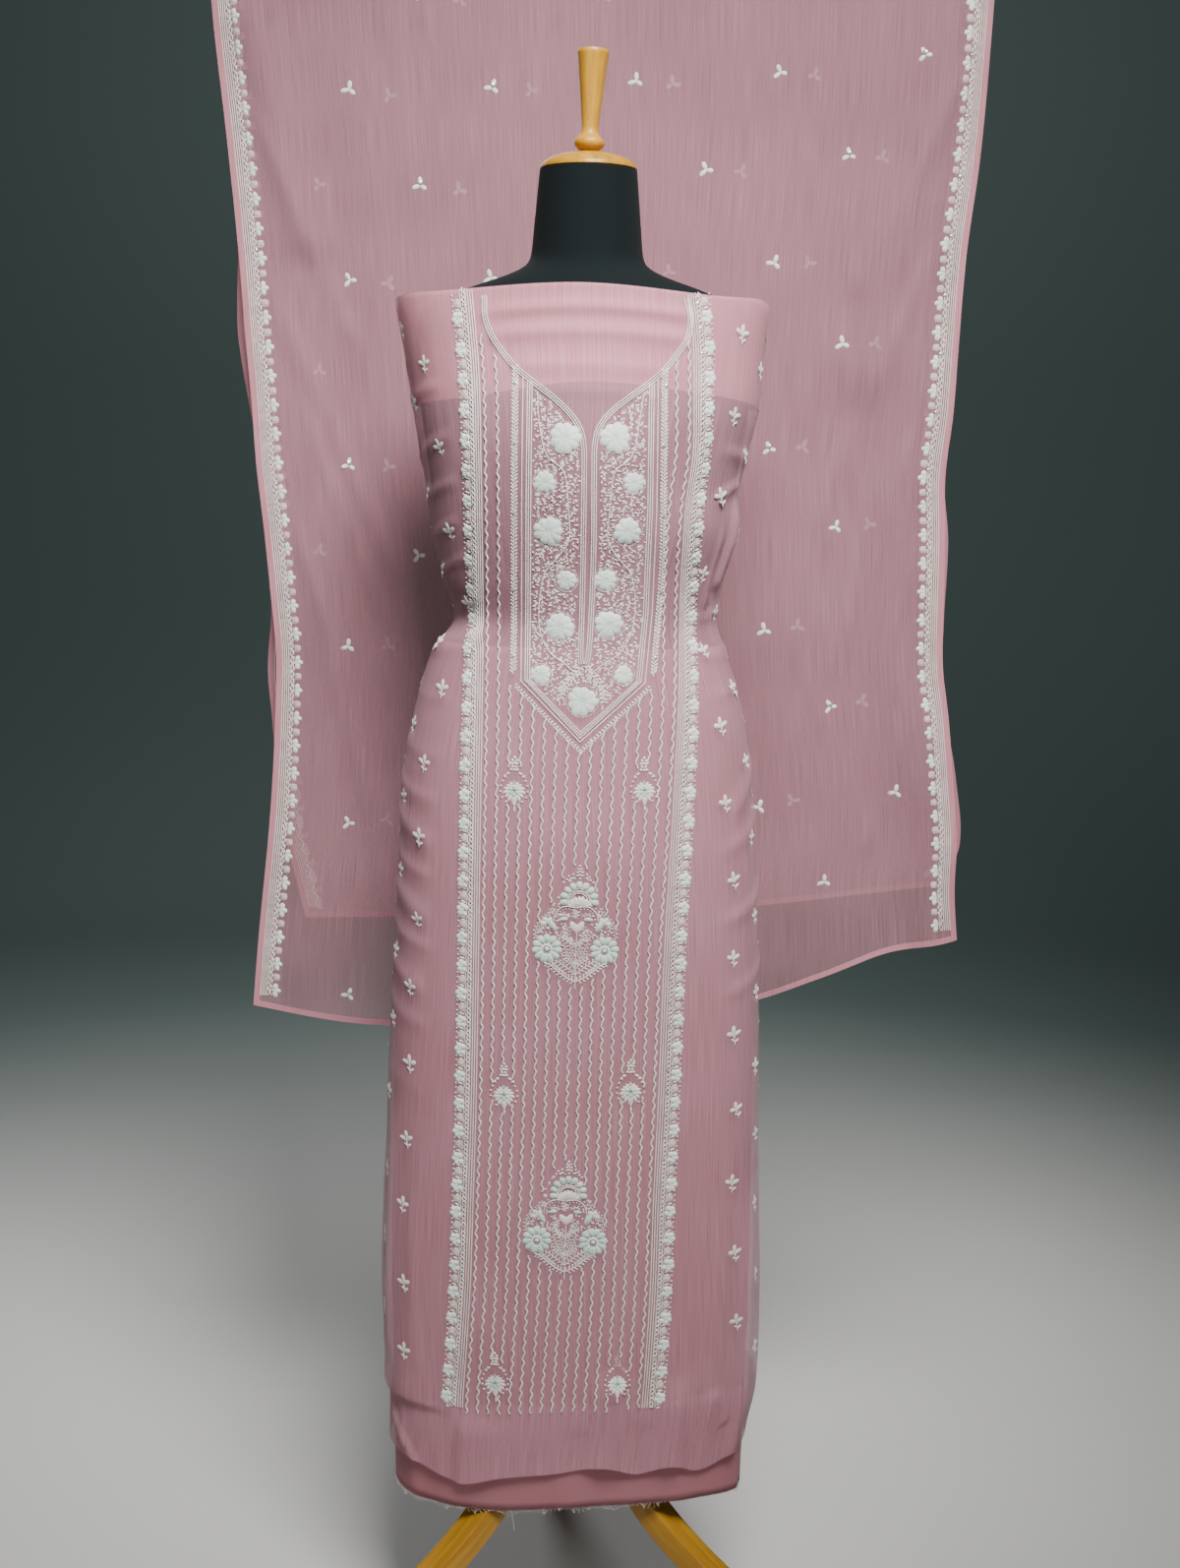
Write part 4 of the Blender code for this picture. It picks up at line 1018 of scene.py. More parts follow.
# ---------------------------------------------------------------- the form
@dataclass
class DressForm:
    """The jersey torso, its wooden cap and handle, and the pole, hub and legs under it."""

    torso_low: float = 0.76
    neck_top: float = 1.53
    seat: float = 0.0003
    cap_rim: float = 0.048
    cap_rise: float = 0.0165
    knob_radius: float = 0.0152
    knob_half: float = 0.009
    handle_lean: float = 1.6
    pole_radius: float = 0.014
    hub_flat: float = 0.034
    hub_low: float = 0.205
    hub_high: float = 0.3
    stand_turn: float = 4.0
    leg_depth: float = 0.025
    leg_thickness: float = 0.031
    leg_reach: float = 0.32
    leg_softness: float = 0.0012

    def torso(self) -> None:
        """The torso and neck with a flat underside, in one jersey skin."""
        body = WornCloth(TORSO_LEVELS, (), (), ())
        angles = np.linspace(-180, 180, 121)
        turned_in = (self.torso_low, 0.7602, 0.762, 0.766)
        body_heights, neck_heights = np.linspace(0.772, 1.39, 110), np.linspace(1.394, self.neck_top, 60)
        heights = np.concatenate([turned_in, body_heights, neck_heights])
        points = body.place(angles[None, :], heights[:, None])
        points = np.concatenate([points, points[-1:]])
        points[1, :, :2] = (points[1, :, :2] - (0, FORM_Y)) * 0.99 + (0, FORM_Y)
        points[[0, -1], :, :2] = (0, FORM_Y)
        heights = np.append(heights, self.neck_top)
        flat = np.stack(np.broadcast_arrays(np.radians(angles) * 0.16, heights[:, None]), -1)
        mesh = sheet_mesh("torso_jersey", points, flat, closed=True)
        weld(mesh, 60)
        dress(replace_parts(link("torso_jersey", mesh), "form_torso"), BLACK_JERSEY.material())

    def turned(self, name: str, node: str, profile: Sequence, sides: int, material: Material,
               height: float = 0.0, tilt: Matrix | None = None) -> None:
        """A turned wooden piece on the form's axis, with upright grain.

        Args:
            name: The piece's name.
            node: The node that it replaces.
            profile: Its half section.
            sides: Number of sides.
            material: Its finish.
            height: Height of the section's origin.
            tilt: How it is turned about that origin.
        """
        mesh = turned_mesh(name, profile, sides)
        mesh.transform(Matrix.Translation((0, FORM_Y, height)) @ (tilt or Matrix()))
        set_attribute(mesh, "grain", points_of(mesh)[:, [2, 0, 1]])
        dress(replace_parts(link(name, mesh), node), material)

    def cap_and_handle(self, light: Material, dark: Material) -> None:
        """The wooden dome over the neck and the leaning handle turned above it."""
        base, rim = self.neck_top + self.seat, self.cap_rim
        dome = [(0, base), (rim - 0.001, base), (rim, base + 0.001)]
        dome += [
            (rim * math.cos(turn), base + 0.001 + self.cap_rise * math.sin(turn))
            for turn in np.linspace(0.1, 1.35, 18)
        ]
        dome.append((0, dome[-1][1]))
        self.turned("beech_cap", "neck_cap", dome, 72, dark)
        middle = 0.94 * self.knob_half
        knob = [(0, 0), *(
            (self.knob_radius * math.cos(t), middle + self.knob_half * math.sin(t))
            for t in np.radians(np.linspace(-70, 42, 16))
        )]
        knob += [(radius, middle + up) for radius, up in (
            (0.01, 0.0078), (0.0088, 0.01), (0.0084, 0.015), (0.009, 0.023), (0.015, 0.0815),
            (0.0157, 0.0845), (0.0157, 0.0862), (0.015, 0.0881), (0.012, 0.0888), (0, 0.089),
        )]
        lean = Matrix.Rotation(math.radians(self.handle_lean), 4, "Y")
        self.turned("beech_handle", "finial_handle", knob, 48, light, dome[-1][1] + self.seat + 0.0002, lean)

    def stand(self, dark: Material) -> None:
        """The pole, the six-sided hub and the three bent legs."""
        low, high, radius = self.hub_high + self.seat, self.torso_low - self.seat, self.pole_radius
        self.turned("beech_pole", "stand_pole", capped(radius, low, high, 0.0008), 48, dark)
        corner = self.hub_flat / math.cos(math.radians(30))
        hub = capped(corner, self.hub_low, self.hub_high, 0.004)
        turn = Matrix.Rotation(math.radians(self.stand_turn), 4, "Z")
        self.turned("beech_hub", "leg_hub", hub, 6, dark, 0.0, turn)
        for side, heading in (("left", -150), ("right", -30), ("back", 90)):
            self.leg(side, self.stand_turn + heading, dark)

    def leg_line(self, t: np.ndarray) -> np.ndarray:
        """Points (radius, height) of a leg's centre line at shares of the way to the foot."""
        start = self.hub_flat + self.seat + self.leg_depth / 2
        top, foot = (start, self.hub_high - 0.01), (self.leg_reach, 0.008)
        knots = np.array([top, (start, 0.16), (0.15, 0.1), foot])
        weights = np.stack([(1 - t) ** 3, 3 * t * (1 - t) ** 2, 3 * t**2 * (1 - t), t**3], -1)
        return weights @ knots

    def leg(self, side: str, heading: float, material: Material) -> None:
        """One bent leg with softened edges, its foot flat on the floor and cut upright.

        Args:
            side: Which leg, as in its node's name.
            heading: Degrees from +X that it points.
            material: Its finish.
        """
        centre = self.leg_line(np.linspace(0, 1, 72))
        slope = slope_of(centre)
        half, depth = self.leg_thickness / 2, self.leg_depth / 2
        out = np.stack([-slope[:, 1], slope[:, 0]], -1) * depth
        upper, lower = centre + out, centre - out
        lower[:, 1] = np.maximum(lower[:, 1], 0)
        upper[-1, 0], lower[-1] = self.leg_reach, (self.leg_reach, 0)
        corners = ((-half, depth), (half, depth), (half, -depth), (-half, -depth))
        shape = bmesh.new()
        rings = [[(u, -half), (u, half), (l, half), (l, -half)] for u, l in zip(upper, lower)]
        grid = [[shape.verts.new((point[0], y, point[1])) for point, y in ring] for ring in rings]
        for near, far in zip(grid, grid[1:]):
            for i in range(4):
                shape.faces.new((near[i], far[i], far[(i + 1) % 4], near[(i + 1) % 4]))
        shape.faces.new(grid[0])
        shape.faces.new(reversed(grid[-1]))
        bmesh.ops.recalc_face_normals(shape, faces=shape.faces)
        mesh = bpy.data.meshes.new("leg")
        shape.to_mesh(mesh)
        shape.free()
        grain = [(run + heading, *corner) for run in run_of(centre) for corner in corners]
        set_attribute(mesh, "grain", np.array(grain))
        mesh.transform(Matrix.Translation((0, FORM_Y, 0)) @ Matrix.Rotation(math.radians(heading), 4, "Z"))
        mesh.shade_smooth()
        carrier = link("leg_blank", mesh)
        edge = carrier.modifiers.new("edges", "BEVEL")
        edge.width, edge.segments = self.leg_softness, 2
        edge.limit_method, edge.angle_limit = "ANGLE", math.radians(50)
        made = baked(carrier)
        bpy.data.objects.remove(carrier, do_unlink=True)
        made.set_sharp_from_angle(angle=math.radians(45))
        dress(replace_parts(link(f"beech_leg_{side}", made), f"leg_{side}"), material)

    def build(self) -> None:
        """Make the whole form."""
        self.torso()
        light, dark = LIGHT_BEECH.material(), DARK_BEECH.material()
        self.cap_and_handle(light, dark)
        self.stand(dark)
        LOG.info("form: torso, cap, handle, pole, hub and three legs")


# ---------------------------------------------------------------- the cloths
@dataclass
class KameezCloth:
    """The wound kameez cloth, lapped at the back, with its turned-in top."""

    surface: WornCloth = WornCloth(KAMEEZ_LEVELS, KAMEEZ_HEM, KAMEEZ_TOP, KAMEEZ_FOLDS + KAMEEZ_CREASES)
    lap_half_angle: float = 14.0
    layer_step: float = 0.002
    facing_step: float = 0.0003
    around: float = 1.15
    length: float = 1.215

    def lining(self, name: str, lower: Sequence[EdgeHeight], upper: Sequence[EdgeHeight], rows: int,
               step: float, drop: float = 0.0) -> Object:
        """A ring of cloth inside the outer one.

        Args:
            name: The piece's name.
            lower: Its lower edge.
            upper: Its upper edge.
            rows: Rows of points.
            step: Its distance inside the outer cloth.
            drop: How far it is let down.

        Returns:
            The undressed piece.
        """
        cloth = WornCloth(KAMEEZ_LEVELS, lower, upper, self.surface.folds)
        points, flat = cloth.sheet(np.linspace(-180, 180, 261), np.linspace(0, 1, rows), -step)
        points[..., 2] -= drop
        return link(name, sheet_mesh(name, points, flat, closed=True))

    def build(self) -> Object:
        """Make the outer cloth, its turned-in top edge and the facing of its hem."""
        georgette = GEORGETTE.material()
        reach = 180 + self.lap_half_angle
        angles = np.linspace(-reach, reach, 259)
        lap = self.layer_step * soft_step((angles - 120) / 40)
        points, flat = self.surface.sheet(angles, np.linspace(0, 1, 289), lap)
        outer = link("kameez_georgette", sheet_mesh("kameez_georgette", points, flat))
        dress(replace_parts(outer, "kameez_cloth"), georgette)
        band = self.lining("kameez_turned_band", TURNED_EDGE, KAMEEZ_TOP, 30, self.layer_step, 0.0004)
        dress(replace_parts(band, "kameez_turned_top"), TURNED_GEORGETTE.material())
        low = [EdgeHeight(row.angle, row.z + 0.0008) for row in KAMEEZ_HEM]
        hem = self.lining("kameez_hem_facing", low, FACING_TOP, 26, self.facing_step)
        dress(hem, georgette)
        LOG.info("kameez cloth: %d, %d and %d faces", *(len(obj.data.polygons) for obj in (outer, band, hem)))
        return outer


@dataclass
class BottomCloth:
    """The plain cloth for the salwar, a tube from the waist to its raw hem."""

    surface: WornCloth = WornCloth(BOTTOM_LEVELS, BOTTOM_HEM, BOTTOM_WAIST, BOTTOM_FOLDS + BOTTOM_CREASES)
    thickness: float = 0.0006
    around: float = 1.02
    length: float = 0.895

    def build(self) -> Object:
        """Make the tube."""
        points, flat = self.surface.sheet(np.linspace(-180, 180, 151), np.linspace(0, 1, 101))
        tube = link("bottom_tube", sheet_mesh("bottom_tube", points, flat, closed=True))
        wall = tube.modifiers.new("wall", "SOLIDIFY")
        wall.thickness, wall.offset = self.thickness, -1
        dress(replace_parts(tube, "bottom_cloth"), BOTTOM_COTTON.material())
        LOG.info("bottom cloth: %d faces", len(tube.data.polygons))
        return tube


@dataclass
class Dupatta:
    """The long veil, doubled over its rail and bound along its edges."""

    hang: float = 0.0143
    width: float = 0.8
    cut_width: float = 0.85
    length: float = 2.43
    bound: float = 0.0068
    binding_rise: float = 0.0006
    columns: int = 181

    def layers(self) -> tuple[HangingLayer, HangingLayer]:
        """The front and the back layer."""
        front = HangingLayer(FRONT_DROP, FRONT_HEM, FRONT_FALLS + FRONT_CREASES, RAIL_Y - self.hang)
        back = HangingLayer(BACK_DROP, BACK_HEM, BACK_FALLS + BACK_CREASES, RAIL_Y + self.hang)
        return front, back

    def sheet(self) -> Object:
        """The sheet up the front, over the rail and down the back."""
        shares = np.linspace(0, 1, self.columns)
        front, back = self.layers()
        grids = []
        for layer, steps in ((front, np.linspace(0, 0.985, 216)), (back, np.linspace(0.985, 0, 132))):
            hem = layer.hem_at(shares)
            height = hem + steps[:, None] * (RAIL_Z - hem)
            run = height if layer is front else 2 * RAIL_Z + 0.045 - height
            grids.append((layer.place(np.broadcast_to(shares, height.shape), height), run))
        turn, ends = np.radians(np.linspace(0, 180, 19))[:, None], FRONT_DROP[-1]
        over = np.stack(np.broadcast_arrays(
            ends.left + shares * (ends.right - ends.left),
            RAIL_Y - self.hang * np.cos(turn), RAIL_Z + self.hang * np.sin(turn),
        ), -1)
        grids.insert(1, (over, RAIL_Z + self.hang * turn))
        points = np.concatenate([grid for grid, _ in grids])
        flat = [np.stack(np.broadcast_arrays(shares * self.cut_width, run), -1) for _, run in grids]
        return link("dupatta_georgette", sheet_mesh("dupatta_georgette", points, np.concatenate(flat)))

    def binding(self) -> Object:
        """The narrow turned edge all round each layer, a little in front of it."""
        shares = np.linspace(0, 1, self.columns)
        strips = []
        for layer, facing in zip(self.layers(), (1, -1)):
            hem, rise = layer.hem_at(shares), self.binding_rise * facing
            z = hem + np.linspace(0, 1, 8)[:, None] * self.bound
            strips.append(layer.place(np.broadcast_to(shares, z.shape), z, rise)[::facing])
            reach = np.linspace(1e-5, self.bound, 6)
            for side in (-1, 1):
                low = hem[0 if side < 0 else -1]
                z = np.broadcast_to(low + np.linspace(0, 1, 150)[:, None] * (RAIL_Z - 0.004 - low), (150, 6))
                near = layer.place(layer.share_at(np.broadcast_to(-side * reach, z.shape), z), z, rise)
                strips.append(near[:, ::-side * facing])
        meshes = [sheet_mesh("strip", points, points[..., [0, 2]]) for points in strips]
        return link("dupatta_binding", joined("dupatta_binding", meshes))

    def build(self) -> Object:
        """Make the sheet and its binding."""
        sheet = self.sheet()
        dress(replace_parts(sheet, "dupatta"), SHADED_DUPATTA_CLOTH.material())
        binding = dress(self.binding(), BINDING_GEORGETTE.material())
        LOG.info("dupatta: %d and %d faces", len(sheet.data.polygons), len(binding.data.polygons))
        return sheet


@dataclass
class HangingRail:
    """The steel rail behind the form and its two flanged sockets."""

    half_length: float = 0.5
    seat: float = 0.0003

    def turned(self, name: str, node: str, profile: Sequence, x: float, turn: float, steel: Material) -> None:
        """A turned steel piece along the rail in place of a node."""
        mesh = turned_mesh(name, profile, 48)
        turned = Matrix.Rotation(math.radians(turn), 4, "Y")
        mesh.transform(Matrix.Translation((x, RAIL_Y, RAIL_Z)) @ turned)
        dress(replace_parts(link(name, mesh), node), steel)

    def build(self) -> None:
        """Make the rail and the sockets."""
        steel, half, low = STEEL.material(), self.half_length, self.seat
        self.turned("steel_rail", "dupatta_rail", capped(RAIL_RADIUS, -half, half, 0.0008), 0, 90, steel)
        bore, cup = RAIL_RADIUS + self.seat, RAIL_RADIUS + 0.004
        socket = [
            (0, low + 0.006), (0.0285, low + 0.006), (0.03, low + 0.0045), (0.03, low + 0.0008),
            (0.0292, low), (cup + 0.0015, low), (cup + 0.0003, low - 0.0006), (cup, low - 0.0018),
            (cup, -0.0172),
            (cup - 0.0008, -0.018), (bore + 0.0006, -0.018), (bore, -0.0174), (bore, low), (0, low),
        ]
        for side, name in ((-1, "left"), (1, "right")):
            self.turned(f"steel_socket_{name}", f"rail_socket_{name}", socket, side * half, side * 90, steel)
        LOG.info("rail and two sockets")


# ---------------------------------------------------------------- needlework
@dataclass(frozen=True)
class FlossFinish:
    """Embroidery floss: its dyes in the order that the dye attribute counts them."""

    name: str
    dyes: tuple[tuple[float, float, float], ...]
    twist_length: float = 0.0017

    def material(self) -> Material:
        """The finish as a material."""
        material, tree, shader = new_material(self.name, Sheen_Weight=0.35, Sheen_Roughness=0.4)
        dye, along = (
            signal(tree, "ShaderNodeAttribute", None, "Fac", attribute_name=name) for name in ("dye", "along")
        )
        mixer = add_node(tree, "ShaderNodeValToRGB", {0: dye})
        ramp = mixer.color_ramp
        ramp.interpolation = "CONSTANT"
        for index, colour in enumerate(self.dyes):
            stop = ramp.elements[0] if index == 0 else ramp.elements.new(index / len(self.dyes))
            stop.color = (*colour, 1)
        ramp.elements.remove(ramp.elements[-1])
        place = signal(tree, "ShaderNodeTexCoord", None, "Object")
        strand, wear = noise(place, 1300.0, 1.0), noise(place, 45.0, 0.0)
        twist = (along * (math.tau / self.twist_length)).sine()
        shade = strand * 0.5 + wear * 0.35 + twist * 0.05
        tone = ranged(shade, 0.25, 0.62, **{"To Min": 0.72, "To Max": 1.06})
        colour = Signal(tree, mixer.outputs["Color"]).scaled(tone)
        coat(tree, shader, colour, strand * 0.25 + 0.5, strand + twist * 0.12, 0.0004)
        return material


@dataclass(frozen=True)
class SequinFinish:
    """Silvered discs, each a little different in tone."""

    name: str
    colour: tuple[float, float, float]

    def material(self) -> Material:
        """The finish as a material."""
        material, tree, shader = new_material(self.name, Metallic=0.6, Coat_Weight=0.5, Coat_Roughness=0.1)
        tone = noise(signal(tree, "ShaderNodeTexCoord", None, "Object"), 60.0)
        dull = tuple(0.6 * channel for channel in self.colour)
        coat(tree, shader, blend(tone, dull, self.colour), tone * 0.4)
        return material


class Dye(Enum):
    """Floss colours, as steps of the dye attribute."""

    CREAM = 0
    MINT = 1
    ROSE = 2
    SHADOW = 3
    BEIGE = 4

    @property
    def level(self) -> float:
        """The dye's value in the attribute: the middle of its step."""
        return (self.value + 0.5) / len(FLOSS.dyes)


FLOSS = FlossFinish("embroidery_floss", (
    (0.86, 0.81, 0.74), (0.62, 0.77, 0.68), (0.83, 0.89, 0.83), (0.14, 0.22, 0.17), (0.66, 0.54, 0.49),
))
SILVER = SequinFinish("silver_sequin", (0.85, 0.88, 0.9))


@dataclass(frozen=True)
class ThreadSize:
    """A sewn thread: its radius, the length and number of sides of its facets, and how it waves."""

    radius: float
    step: float
    sides: int = 5
    swing: float = 0.0
    period: float = 0.0111
    lift: float = 0.0004


class Gauge(Enum):
    """The threads of the suit."""

    WAVE = ThreadSize(0.00088, 0.00123, 4, 0.00095, 0.0111, 0.0006)
    CORD = ThreadSize(0.00058, 0.004, 6, 0.0, 0.0111, 0.0005)
    VINE = ThreadSize(0.00062, 0.0018, 5, 0.0, 0.0111, 0.0005)
    FINE = ThreadSize(0.00046, 0.0016, 4, 0.0, 0.0111, 0.0004)
    FRAY = ThreadSize(0.00018, 0.0012, 3, 0.0006, 0.009, 0.0)


class MotifShape:
    """A small sewn motif of padded patches, sized in millimetres, with Z out of the cloth."""

    def __init__(self) -> None:
        """Begin without patches."""
        self.points: list[tuple[float, float, float]] = []
        self.faces: list[tuple[int, ...]] = []
        self.dyes: list[float] = []

    def pad(self, outline: Sequence[tuple[float, float]], dome: float, dye: Dye, low: float = 0.0) -> None:
        """Add a patch with a raised middle inside an outline that runs anticlockwise."""
        first, count = len(self.points), len(outline)
        cx, cy = np.mean(outline, axis=0)
        self.points += [(x, y, low) for x, y in outline]
        self.points += [(cx + 0.72 * (x - cx), cy + 0.72 * (y - cy), low + 0.8 * dome) for x, y in outline]
        self.points.append((cx, cy, low + dome))
        for i in range(count):
            j = (i + 1) % count
            self.faces.append((first + i, first + j, first + count + j, first + count + i))
            self.faces.append((first + count + i, first + count + j, first + 2 * count))
        self.dyes += [dye.level] * (2 * count + 1)

    def petal(self, base: tuple, length: float, width: float, turn: float, dye: Dye, dome: float = 0.9,
              sides: int = 8) -> None:
        """Add a petal or leaf from its base, turned in degrees from straight up, anticlockwise."""
        a = np.linspace(0, math.tau, sides, endpoint=False)
        along = length * (1 - np.cos(a)) / 2
        wide = -width / 2 * np.sin(a) * (0.75 + 0.25 * (1 - np.cos(a)) / 2) * 1.1
        c, s = math.cos(math.radians(turn)), math.sin(math.radians(turn))
        outline = [(base[0] + c * w - s * l, base[1] + s * w + c * l) for l, w in zip(along, wide)]
        self.pad(outline[::-1], dome, dye)

    def disc(self, centre: tuple, radius: float, dye: Dye, dome: float = 0.8, sides: int = 8,
             low: float = 0.0) -> None:
        """Add a round pad."""
        turns, (x, y) = np.linspace(0, math.tau, sides, endpoint=False), centre
        self.pad([(x + radius * math.cos(t), y + radius * math.sin(t)) for t in turns], dome, dye, low)

    def stem(self, knots: Sequence[tuple[float, float]], width: float, dye: Dye) -> None:
        """Add a raised line of stitches through knots."""
        for (ax, ay), (bx, by) in zip(knots, knots[1:]):
            turn = math.degrees(math.atan2(-(bx - ax), by - ay))
            self.petal((ax, ay), math.hypot(bx - ax, by - ay) * 1.08, width, turn, dye, 0.5, 6)

    def rose(self, radius: float, lobes: int, dye: Dye) -> None:
        """Add a full round flower: uneven scalloped edge, rings of strokes and a dimpled middle. Its grooves,
        inner ring and scattered strokes take the darker mint dye and its middle the shadow dye, as painted
        shade.
        """
        around, rings, first = lobes * 6, 6, len(self.points)
        for ring in range(rings):
            share = (ring + 1) / rings
            for i in range(around):
                t = i / around * math.tau
                lobe = abs(math.cos(lobes * t / 2)) ** 0.6
                r = radius * share * (1 + (0.13 * lobe - 0.09 + 0.05 * math.sin(3 * t + 1)) * share**2)
                z = 1.9 * math.sqrt(max(0.0, 1 - 0.94 * share**2)) * (0.7 + 0.3 * min(1.0, share / 0.35))
                z += 0.26 * (1 if (i + ring) % 2 else -1) * share - 0.45 * (1 - lobe) * share
                self.points.append((r * math.cos(t), r * math.sin(t), z if ring < rings - 1 else 0.0))
                # painted shade: the grooves between lobes, scattered strokes and the inner ring take the
                # darker mint dye
                painted_groove_shade = (lobe < 0.5 and ring % 2) or (i * 5 + 3 * ring) % 7 < 2 or ring == 0
                self.dyes.append((Dye.MINT if painted_groove_shade else dye).level)
        self.points.append((0, 0, 1.3))
        for i in range(around):
            j = (i + 1) % around
            self.faces.append((first + i, first + j, first + rings * around))
            for ring in range(rings - 1):
                low = first + ring * around
                self.faces.append((low + i, low + around + i, low + around + j, low + j))
        self.dyes.append(Dye.SHADOW.level)

    def template(self, name: str) -> Object:
        """The motif as an object in metres, for a tree to set down."""
        mesh = bpy.data.meshes.new(name)
        mesh.from_pydata((np.array(self.points) * (0.001, 0.001, 0.0008)).tolist(), [], self.faces)
        set_attribute(mesh, "dye", np.array(self.dyes))
        mesh.shade_smooth()
        return link(name, mesh)


class Motif(Enum):
    """The sewn motifs of the suit."""

    DOT = "dot"
    LEAF = "leaf"
    MINT_LEAF = "mint_leaf"
    PETAL = "petal"
    BLOSSOM = "blossom"
    HALF_BLOSSOM = "half_blossom"
    BUD = "bud"
    ROSE = "rose"
    DAISY = "daisy"
    HEART = "heart"
    SMALL_BLOOM = "small_bloom"
    SPRIG = "sprig"
    TREFOIL = "trefoil"
    SEQUIN = "sequin"

    @property
    def plural(self) -> str:
        """The motif's name for many."""
        odd = {Motif.LEAF: "leaves", Motif.MINT_LEAF: "mint_leaves", Motif.DAISY: "daisies"}
        return odd.get(self, self.value + "s")

    def shape(self) -> MotifShape:
        """The motif's padded patches."""
        s = MotifShape()
        if self is Motif.DOT:
            s.disc((0, 0), 1.0, Dye.CREAM, 0.8, 6)
        elif self is Motif.LEAF:
            s.petal((0, 0), 6.0, 2.6, 0, Dye.CREAM, 0.7, 6)
        elif self is Motif.MINT_LEAF:
            s.petal((0, 0), 8.0, 3.6, 0, Dye.MINT, 0.8)
        elif self is Motif.PETAL:
            s.petal((0, -3.4), 6.8, 5.4, 0, Dye.MINT, 1.2)
        elif self is Motif.BLOSSOM:
            for turn, length in ((0, 6.4), (62, 6.8), (-62, 6.8), (124, 6.2), (-124, 6.2)):
                s.petal((0, 0), length, 6.0, turn, Dye.ROSE, 1.2)
            for turn in (31, -31, 93, -93, 180):
                s.petal((0, 0), 3.4, 0.9, turn, Dye.SHADOW, 1.0, 5)
            s.disc((0, 0), 1.4, Dye.CREAM, 1.5, 6)
        elif self is Motif.HALF_BLOSSOM:
            s.disc((0, 1.2), 3.4, Dye.ROSE, 1.0)
            for turn, length, width in ((0, 7.4, 5.8), (78, 8.4, 6.2), (-78, 8.4, 6.2)):
                s.petal((0, 0.4), length, width, turn, Dye.ROSE, 1.2)
            s.petal((0, 2.4), 3.4, 1.3, 180, Dye.MINT, 1.5, 6)
        elif self is Motif.BUD:
            cup = [(-3.6, -3.4), (3.6, -3.4), (4.2, 0), (3.4, 3.6), (0, 4.4), (-3.4, 3.6), (-4.2, 0)]
            s.pad(cup, 0.7, Dye.BEIGE)
            for turn in (26, 0, -26):
                s.petal((0, -2.8), 6.4, 1.8, turn, Dye.CREAM if turn == 0 else Dye.BEIGE, 1.1, 6)
        elif self is Motif.ROSE:
            s.rose(10.0, 9, Dye.ROSE)
        elif self is Motif.DAISY:
            for k in range(11):
                turn = 360 * k / 11
                c, n = math.cos(math.radians(turn)), math.sin(math.radians(turn))
                s.petal((-4.2 * n, 4.2 * c), 9.6, 7.0, turn, Dye.MINT, 1.3)
                s.petal((-5.4 * n, 5.4 * c), 3.6, 1.0, turn, Dye.SHADOW, 1.5, 5)
            s.disc((0, 0), 5.0, Dye.CREAM, 1.4, 12)
            s.disc((0, 0), 3.3, Dye.SHADOW, 0.3, 10, 1.2)
            s.disc((0, 0), 2.2, Dye.CREAM, 0.7, 8, 1.4)
        elif self is Motif.HEART:
            half = [(5.0, -3.6), (8.4, 1.6), (8.2, 6.4), (5.4, 6.6), (2.8, 4.6)]
            s.pad([(0, -7.6), *half, (0, 2.6), *((-x, y) for x, y in half[::-1])], 1.0, Dye.CREAM)
        elif self is Motif.SMALL_BLOOM:
            for x, y in (
                (0.6, 25.2), (-1.4, 22.6), (2.6, 22.4), (-2.2, 19.6), (0.6, 19.8), (3.0, 19.4),
                (-1.6, 16.6), (1.8, 16.4), (-2.6, 13.8), (0.4, 13.6), (3.0, 13.6), (-6.2, 9.8),
                (9.4, 7.4), (-8.6, 7.4), (6.6, 9.6),
            ):
                s.disc((x, y), 1.5, Dye.CREAM, 0.9, 6)
            for k, length in enumerate((10.4, 9.4, 9.4, 10.6, 11.6, 11.2, 12.2, 13.0)):
                for turn in (25 * k, -25 * k):
                    s.petal((0, -6.0), length, 3.8, turn, Dye.CREAM, 0.8, 6)
            for turn in range(0, 360, 60):
                s.petal((0, -6.0), 6.4, 4.8, turn, Dye.MINT, 1.3)
                s.petal((0, -6.0), 3.0, 0.9, turn + 30, Dye.SHADOW, 1.5, 5)
            for side in (1, -1):
                for x, y in (
                    (11.0, 3.0), (8.4, 6.8), (5.2, 10.4), (12.8, -1.6), (13.0, -7.0), (11.4, -12.4),
                    (7.6, -16.4),
                ):
                    s.disc((side * x, y), 1.1, Dye.CREAM, 0.9, 6)
            s.stem([(0, -26.0), (0.3, -21.0), (0, -17.0)], 2.0, Dye.CREAM)
        elif self is Motif.SPRIG:
            for turn, length, width in ((3, 8.8, 4.6), (72, 8.6, 4.4), (-68, 8.6, 4.4)):
                s.petal((0, 0.2), length, width, turn, Dye.CREAM, 0.7)
            s.stem([(1.4, -8.6), (1.0, -4.0), (0, 1.0)], 1.7, Dye.CREAM)
            s.petal((1.2, -6.0), 5.0, 2.4, -56, Dye.CREAM, 0.7)
            s.petal((1.2, -5.0), 4.4, 2.2, 60, Dye.CREAM, 0.7)
        elif self is Motif.TREFOIL:
            for turn, length in ((6, 9.4), (112, 9.4), (-116, 7.6)):
                s.petal((0, -0.6), length, 5.0, turn, Dye.ROSE, 0.8)
        elif self is Motif.SEQUIN:
            s.disc((0, 0), 1.55, Dye.CREAM, 0.35, 10)
        return s


